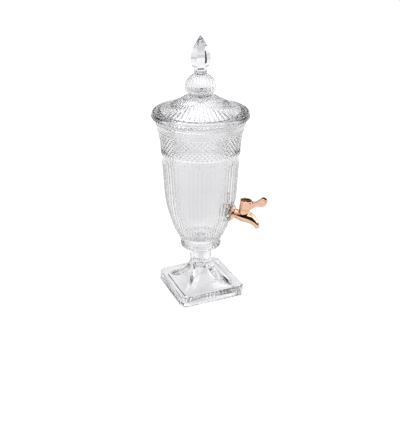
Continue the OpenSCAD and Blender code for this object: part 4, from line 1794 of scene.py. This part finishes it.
    def handle(self) -> bpy.types.Object:
        """Makes the lever handle.

        Returns:
            The piece.
        """
        path, radii, outline = self._lever()
        spare = 2.0
        low, high = self.handle_z - spare, self.handle_top + spare
        barrel = (low, high, self.hub_r, self.hub_r + self.handle_flare)
        parts = [slab("lever", outline, self.lever_w / 2), self._barrel("handle_barrel", *barrel)]
        lever = far_from_slab(path, radii, self.lever_w / 2, self.lever_edge)
        form = melted(lever, far_from_barrel(self.hub_y, *barrel), self.lever_fillet)
        piece = cast("lever_handle_cap", parts, form, self.grain)
        slice_off(piece, (0, self.hub_y, self.handle_z), (0, 0, -1))
        cut(piece, self._recess_tool(2 * spare))
        # Paints shade into the faces inside the recess.
        self._paint_recess_shade(piece, self.recess_shade)
        return self._dressed(piece)

    def _paint_recess_shade(self, piece: bpy.types.Object, share: float) -> None:
        """Writes how much painted shade, as a share of the metal's dark sunk colour, the faces in the
        barrel's recess get.

        Args:
            piece: The piece, in the tap's frame.
            share: The share there.
        """
        floor, rim = self.handle_top - self.recess_h, self.hub_r - self.recess_rim
        under, beside = self.recess_slack
        layer = piece.data.attributes.new(RECESS, "FLOAT", "FACE")
        for face in piece.data.polygons:
            x, y, z = face.center / MM
            inside = z > floor - under and math.hypot(x, y - self.hub_y) < rim + beside
            layer.data[face.index].value = share if inside else 0.0

    def _recess_tool(self, spare: float) -> bpy.types.Object:
        """Makes the tool that trims the handle's barrel and sinks its top.

        Args:
            spare: How far it reaches above the barrel.

        Returns:
            The tool, in the tap's frame.
        """
        top, floor = self.handle_top, self.handle_top - self.recess_h
        rim, edge = self.hub_r - self.recess_rim, self.hub_r + self.handle_flare
        soft, clear = self.rim_bevel, self.recess_clear
        low, high, step = floor + soft, top - soft, top - 1.1 * soft
        profile = [(0, floor), (rim - soft, floor), (rim, low), (rim, high), (rim + soft, top)]
        profile += [(edge - soft, top), (edge + 0.1 * soft, step), (edge + clear, step)]
        profile += [(edge + clear, top + spare), (0, top + spare)]
        tool = turned("recess_tool", [Row(r, z) for r, z in profile], FINE_SIDES)
        place(tool, Matrix.Translation((0, self.hub_y, 0)))
        return tool

    def screw(self) -> bpy.types.Object:
        """Makes the cross-head handle screw.

        Returns:
            The piece.
        """
        r, h = self.screw_r, self.screw_h
        floor = self.handle_top - self.recess_h
        side = self.screw_side
        rows = [Row(0, -self.bond), Row(r, -self.bond), Row(r, h * side)]
        for a in np.linspace(0.15, 1.4, 8):
            rows.append(Row(r * math.cos(a), h * (side + (1.0 - side) * math.sin(a))))
        rows += [Row(0, h)]
        piece = turned("handle_screw_head", rows, SIDES)
        reach, half = self.cross_reach, self.cross_half
        low, high = h * self.cross_floor, h * 1.5
        for turn in (45.0, 135.0):
            tool = mesh_piece("cross_tool", np.array([
                (x * reach * r, y * half * r, low if z < 0 else high)
                for x in (-1, 1) for y in (-1, 1) for z in (-1, 1)
            ]), [(0, 1, 3, 2), (4, 6, 7, 5), (0, 4, 5, 1), (2, 3, 7, 6), (0, 2, 6, 4), (1, 5, 7, 3)])
            mend_normals(tool)
            place(tool, Matrix.Rotation(math.radians(turn), 4, "Z"))
            cut(piece, tool)
        place(piece, Matrix.Translation((0, self.hub_y, floor)))
        # Paints shade onto the screw, which sits in the recess.
        self._paint_recess_shade(piece, self.screw_shade)
        return self._dressed(piece)

    def _dressed(self, piece: bpy.types.Object) -> bpy.types.Object:
        """Moves a piece from the tap's frame to the row's, and gives it its metal."""
        place(piece, self.seat.matrix())
        piece.data.materials.clear()
        piece.data.materials.append(self.metal)
        soften(piece)
        return piece


@dataclass
class Fittings:
    """Washers, nut and valve pieces that keep their solids."""

    finishes: dict[str, MetalFinish | MouldedFinish]

    def dress(self) -> None:
        """Gives each node the material named like its finish, the frame's own where the frame has one."""
        for node, finish in self.finishes.items():
            material = bpy.data.materials.get(finish.slot) or finish.material()
            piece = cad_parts[node]
            if not piece.material_slots:
                piece.data.materials.append(material)
            for slot in piece.material_slots:
                slot.material = material
            log.info("%s: solid kept, %s", node, finish.slot)


@dataclass
class Studio:
    """White sweep, soft lamps and the camera at the photograph's view.

    lane and depth say how bright the floor looks through glass: by metres to the side of the line of sight,
    and by distance behind the object in shares of depth_reach. glass_belt and metal_belt say how bright the
    surroundings look through glass and in polished metal, by height on a unit ball.
    """

    camera_out: float = 1.3083
    camera_z: float = 0.7714
    camera_turn: float = -68.0
    camera_pitch: float = 24.588
    focal_px: float = 705.0
    frame_px: tuple[int, int] = (400, 424)
    axis_px: float = 200.6
    sensor: float = 36.0
    floor_half: float = 14.0
    floor_gap: float = 0.25
    floor_glow: float = 0.88
    floor_albedo: float = 0.25
    sweep_back: float = 3.0
    sweep_reach: Pair = (3.58, 3.66)
    lane: Stops = (
        (0.0, 0.55), (0.02, 0.6), (0.05, 0.82), (0.12, 0.8), (0.2, 0.9), (0.35, 1.0), (0.5, 1.0),
        (1.0, 0.5)
    )
    depth: Stops = (
        (0.0, 1.22), (0.04, 1.15), (0.12, 0.84), (0.27, 0.84), (0.36, 1.1), (0.4, 1.4), (0.45, 0.95),
        (0.55, 0.9), (0.63, 1.7)
    )
    depth_reach: float = 3.0
    away: Triple = (0.927, 0.375, 0.0)
    back_light: Pair = (0.12, 0.2)
    ambient: float = 0.6
    glass_belt: Stops = (
        (0.205, 1.0), (0.215, 0.0), (0.285, 0.0), (0.295, 1.0), (0.44, 1.0), (0.48, 0.0),
        (0.74, 0.0), (0.78, 1.0)
    )
    belt_back: Pair = (0.0, 0.1)
    belt_right: Pair = (0.0, 0.3)
    belt_fade: float = 0.5
    back_reach: Pair = (0.0, 0.3)
    metal_belt: Stops = ((0.66, 0.02), (0.72, 2.2))
    lit_side: Triple = (0.375, -0.927, 0.0)
    lit_reach: Pair = (0.5, 0.85)
    lit_share: float = 0.65
    lamp_aim: Triple = (0.0, 0.0, 0.25)

    def build(self) -> None:
        """Makes the floor, the surroundings, the lamps and the camera."""
        bpy.context.scene.view_settings.view_transform = "Standard"
        self._floor()
        self._surroundings()
        self._lamp("overhead_softbox", at=(0.2, 0.5, 2.6), side=2.2, watts=38.0)
        self._lamp("side_softbox", at=(-1.8, 1.3, 1.5), side=1.2, watts=12.0)
        self._camera()

    def _mirrored(self, wires: Wiring, path: bpy.types.Node) -> Socket:
        """1 for rays thrown back by a polished face, and 0 for those that went through glass."""
        return wires.math("SUBTRACT", path.outputs["Is Glossy Ray"], path.outputs["Is Transmission Ray"])

    def _floor(self) -> None:
        """Makes the white floor, which keeps the shadow and ends in the dark for polished metal."""
        h, low = self.floor_half / MM, -self.floor_gap
        corners = np.array([(-h, -h, low), (h, -h, low), (h, h, low), (-h, h, low)])
        floor = mesh_piece("floor", corners, [(0, 1, 2, 3)])
        material = bpy.data.materials.new("white_floor")
        material.use_nodes = True
        wires = Wiring(material.node_tree)
        path = wires.add("ShaderNodeLightPath")
        spot = wires.add("ShaderNodeTexCoord").outputs["Object"]
        middle = tuple(self.sweep_back * part for part in self.away)
        reach = wires.vector("DISTANCE", spot, middle, out="Value")
        near = wires.remap(reach, self.sweep_reach, (1.0, 0.0))
        there = wires.math("MAXIMUM", wires.math("SUBTRACT", 1.0, self._mirrored(wires, path)), near)
        across = wires.math("ABSOLUTE", wires.vector("DOT_PRODUCT", spot, self.lit_side, out="Value"))
        along = wires.vector("DOT_PRODUCT", spot, self.away, out="Value")
        far = wires.ramp(wires.math("DIVIDE", along, self.depth_reach), self.depth)
        lane = wires.math("MINIMUM", wires.math("MULTIPLY", wires.ramp(across, self.lane), far), 1.0)
        lane = wires.math("MAXIMUM", lane, wires.math("SUBTRACT", 1.0, path.outputs["Is Transmission Ray"]))
        seen = wires.math("MAXIMUM", path.outputs["Is Camera Ray"], path.outputs["Is Glossy Ray"])
        seen = wires.math("MAXIMUM", seen, path.outputs["Is Transmission Ray"])
        matt = wires.add("ShaderNodeBsdfDiffuse")
        wires.feed(matt.inputs["Color"], wires.mix(there, (0.0, 0.0, 0.0), (self.floor_albedo,) * 3))
        glow = wires.add("ShaderNodeEmission")
        strength = wires.math("MULTIPLY", wires.math("MULTIPLY", seen, there), self.floor_glow)
        strength = wires.math("MULTIPLY", strength, lane)
        wires.feed(glow.inputs["Strength"], strength)
        both = wires.add("ShaderNodeAddShader")
        wires.feed(both.inputs[0], matt.outputs["BSDF"])
        wires.feed(both.inputs[1], glow.outputs["Emission"])
        output = wires.add("ShaderNodeOutputMaterial")
        wires.feed(output.inputs["Surface"], both.outputs["Shader"])
        floor.data.materials.append(material)

    def _surroundings(self) -> None:
        """White surroundings with dark strips of studio, for glass and metal to show."""
        world = bpy.data.worlds.new("studio")
        bpy.context.scene.world = world
        world.use_nodes = True
        wires = Wiring(world.node_tree)
        split = wires.add("ShaderNodeSeparateXYZ")
        way = wires.add("ShaderNodeTexCoord").outputs["Generated"]
        wires.feed(split.inputs["Vector"], way)
        height = split.outputs["Z"]
        lit = wires.vector("DOT_PRODUCT", way, self.lit_side, out="Value")
        away = wires.vector("DOT_PRODUCT", way, self.away, out="Value")
        open_front = wires.remap(away, self.belt_back, (1.0, 0.0))
        open_right = wires.remap(lit, self.belt_right, (0.0, self.belt_fade))
        opened = wires.math("MAXIMUM", open_front, open_right)
        through = wires.math("MAXIMUM", wires.ramp(height, self.glass_belt), opened)
        lit = wires.remap(lit, self.lit_reach, (0.0, self.lit_share))
        mirrored = wires.ramp(wires.math("ADD", lit, height), self.metal_belt)
        behind = wires.remap(away, self.back_reach, (0.0, 1.0))
        glow = wires.math("MULTIPLY", behind, wires.remap(height, self.back_light, (1.0, 0.0)))
        mirrored = wires.math("MAXIMUM", mirrored, glow)
        path = wires.add("ShaderNodeLightPath")
        shown = wires.mix(path.outputs["Is Transmission Ray"], (self.ambient,) * 3, through)
        shown = wires.mix(self._mirrored(wires, path), shown, mirrored)
        colour = wires.mix(path.outputs["Is Camera Ray"], shown, (1.0, 1.0, 1.0))
        background = wires.add("ShaderNodeBackground")
        wires.feed(background.inputs["Color"], colour)
        output = wires.add("ShaderNodeOutputWorld")
        wires.feed(output.inputs["Surface"], background.outputs["Background"])

    def _lamp(self, name: str, at: Triple, side: float, watts: float) -> None:
        """Adds a square soft lamp.

        Args:
            name: Its name.
            at: Its place in metres.
            side: Its side in metres.
            watts: Its power.
        """
        lamp = bpy.data.lights.new(name, "AREA")
        lamp.shape = "SQUARE"
        lamp.size = side
        lamp.energy = watts
        self._aimed(bpy.data.objects.new(name, lamp), Vector(at), Vector(self.lamp_aim))

    def _aimed(self, thing: bpy.types.Object, at: Vector, target: Vector) -> None:
        """Adds a lamp or the camera to the scene, in its place and turned to a target."""
        bpy.context.scene.collection.objects.link(thing)
        turn = (target - at).to_track_quat("-Z", "Y").to_matrix().to_4x4()
        thing.matrix_world = Matrix.Translation(at) @ turn

    def _camera(self) -> None:
        """Adds the camera."""
        lens = bpy.data.cameras.new("camera")
        lens.sensor_width = self.sensor
        lens.lens = self.focal_px * self.sensor / max(self.frame_px)
        lens.shift_x = (self.frame_px[0] / 2 - self.axis_px) / max(self.frame_px)
        thing = bpy.data.objects.new("camera", lens)
        turn = math.radians(self.camera_turn)
        at = Vector((math.sin(turn) * self.camera_out, -math.cos(turn) * self.camera_out, self.camera_z))
        fall = self.camera_out * math.tan(math.radians(self.camera_pitch))
        self._aimed(thing, at, Vector((0, 0, self.camera_z - fall)))
        bpy.context.scene.camera = thing


def top_of(node: str) -> float:
    """Height of a node's top at rest, in millimetres."""
    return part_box(node)[1][2] / MM


def main() -> None:
    """Builds the studio and the dispenser, piece by piece."""
    logging.basicConfig(level=logging.INFO, format="%(name)s: %(message)s")
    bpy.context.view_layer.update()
    Studio().build()

    seat_z = top_of("pedestal")
    bowl = Bowl(foot=seat_z, lip_z=top_of("bowl"))
    finish_piece(Pedestal().build(seat_z), PEDESTAL_GLASS, "vessel", "pedestal")
    finish_piece(bowl.build(), BOWL_GLASS, "vessel", "bowl")

    neck_z = top_of("lid")
    ring_r = bowl.room(bowl.lip_z - Lid.ring_depth) - Lid.ring_gap
    finish_piece(Lid(bowl.lip_z, neck_z, ring_r).build(), LID_GLASS, "lid", "lid")
    finish_piece(Finial(neck_z, top_of("finial")).build(), FINIAL_GLASS, "lid", "finial")

    tap = Tap(bowl.seat)
    finish_piece(tap.body(), ROSE_GOLD, "vessel", "tap_body")
    finish_piece(tap.flange(), ROSE_GOLD, "vessel", "wall_flange")
    finish_piece(tap.handle(), ROSE_GOLD, "tap_handle", "lever_handle")
    finish_piece(tap.screw(), ROSE_GOLD, "tap_handle", "handle_screw")
    Fittings({
        "outer_washer": SILICONE,
        "inner_washer": SILICONE,
        "slip_washer": NYLON,
        "lock_nut": NYLON,
        "valve_plug": NYLON,
        "plug_o_rings": O_RING_RUBBER,
        "bonnet_nut": ROSE_GOLD,
        "friction_washer": NYLON,
    }).dress()


if __name__ == "__main__":
    main()
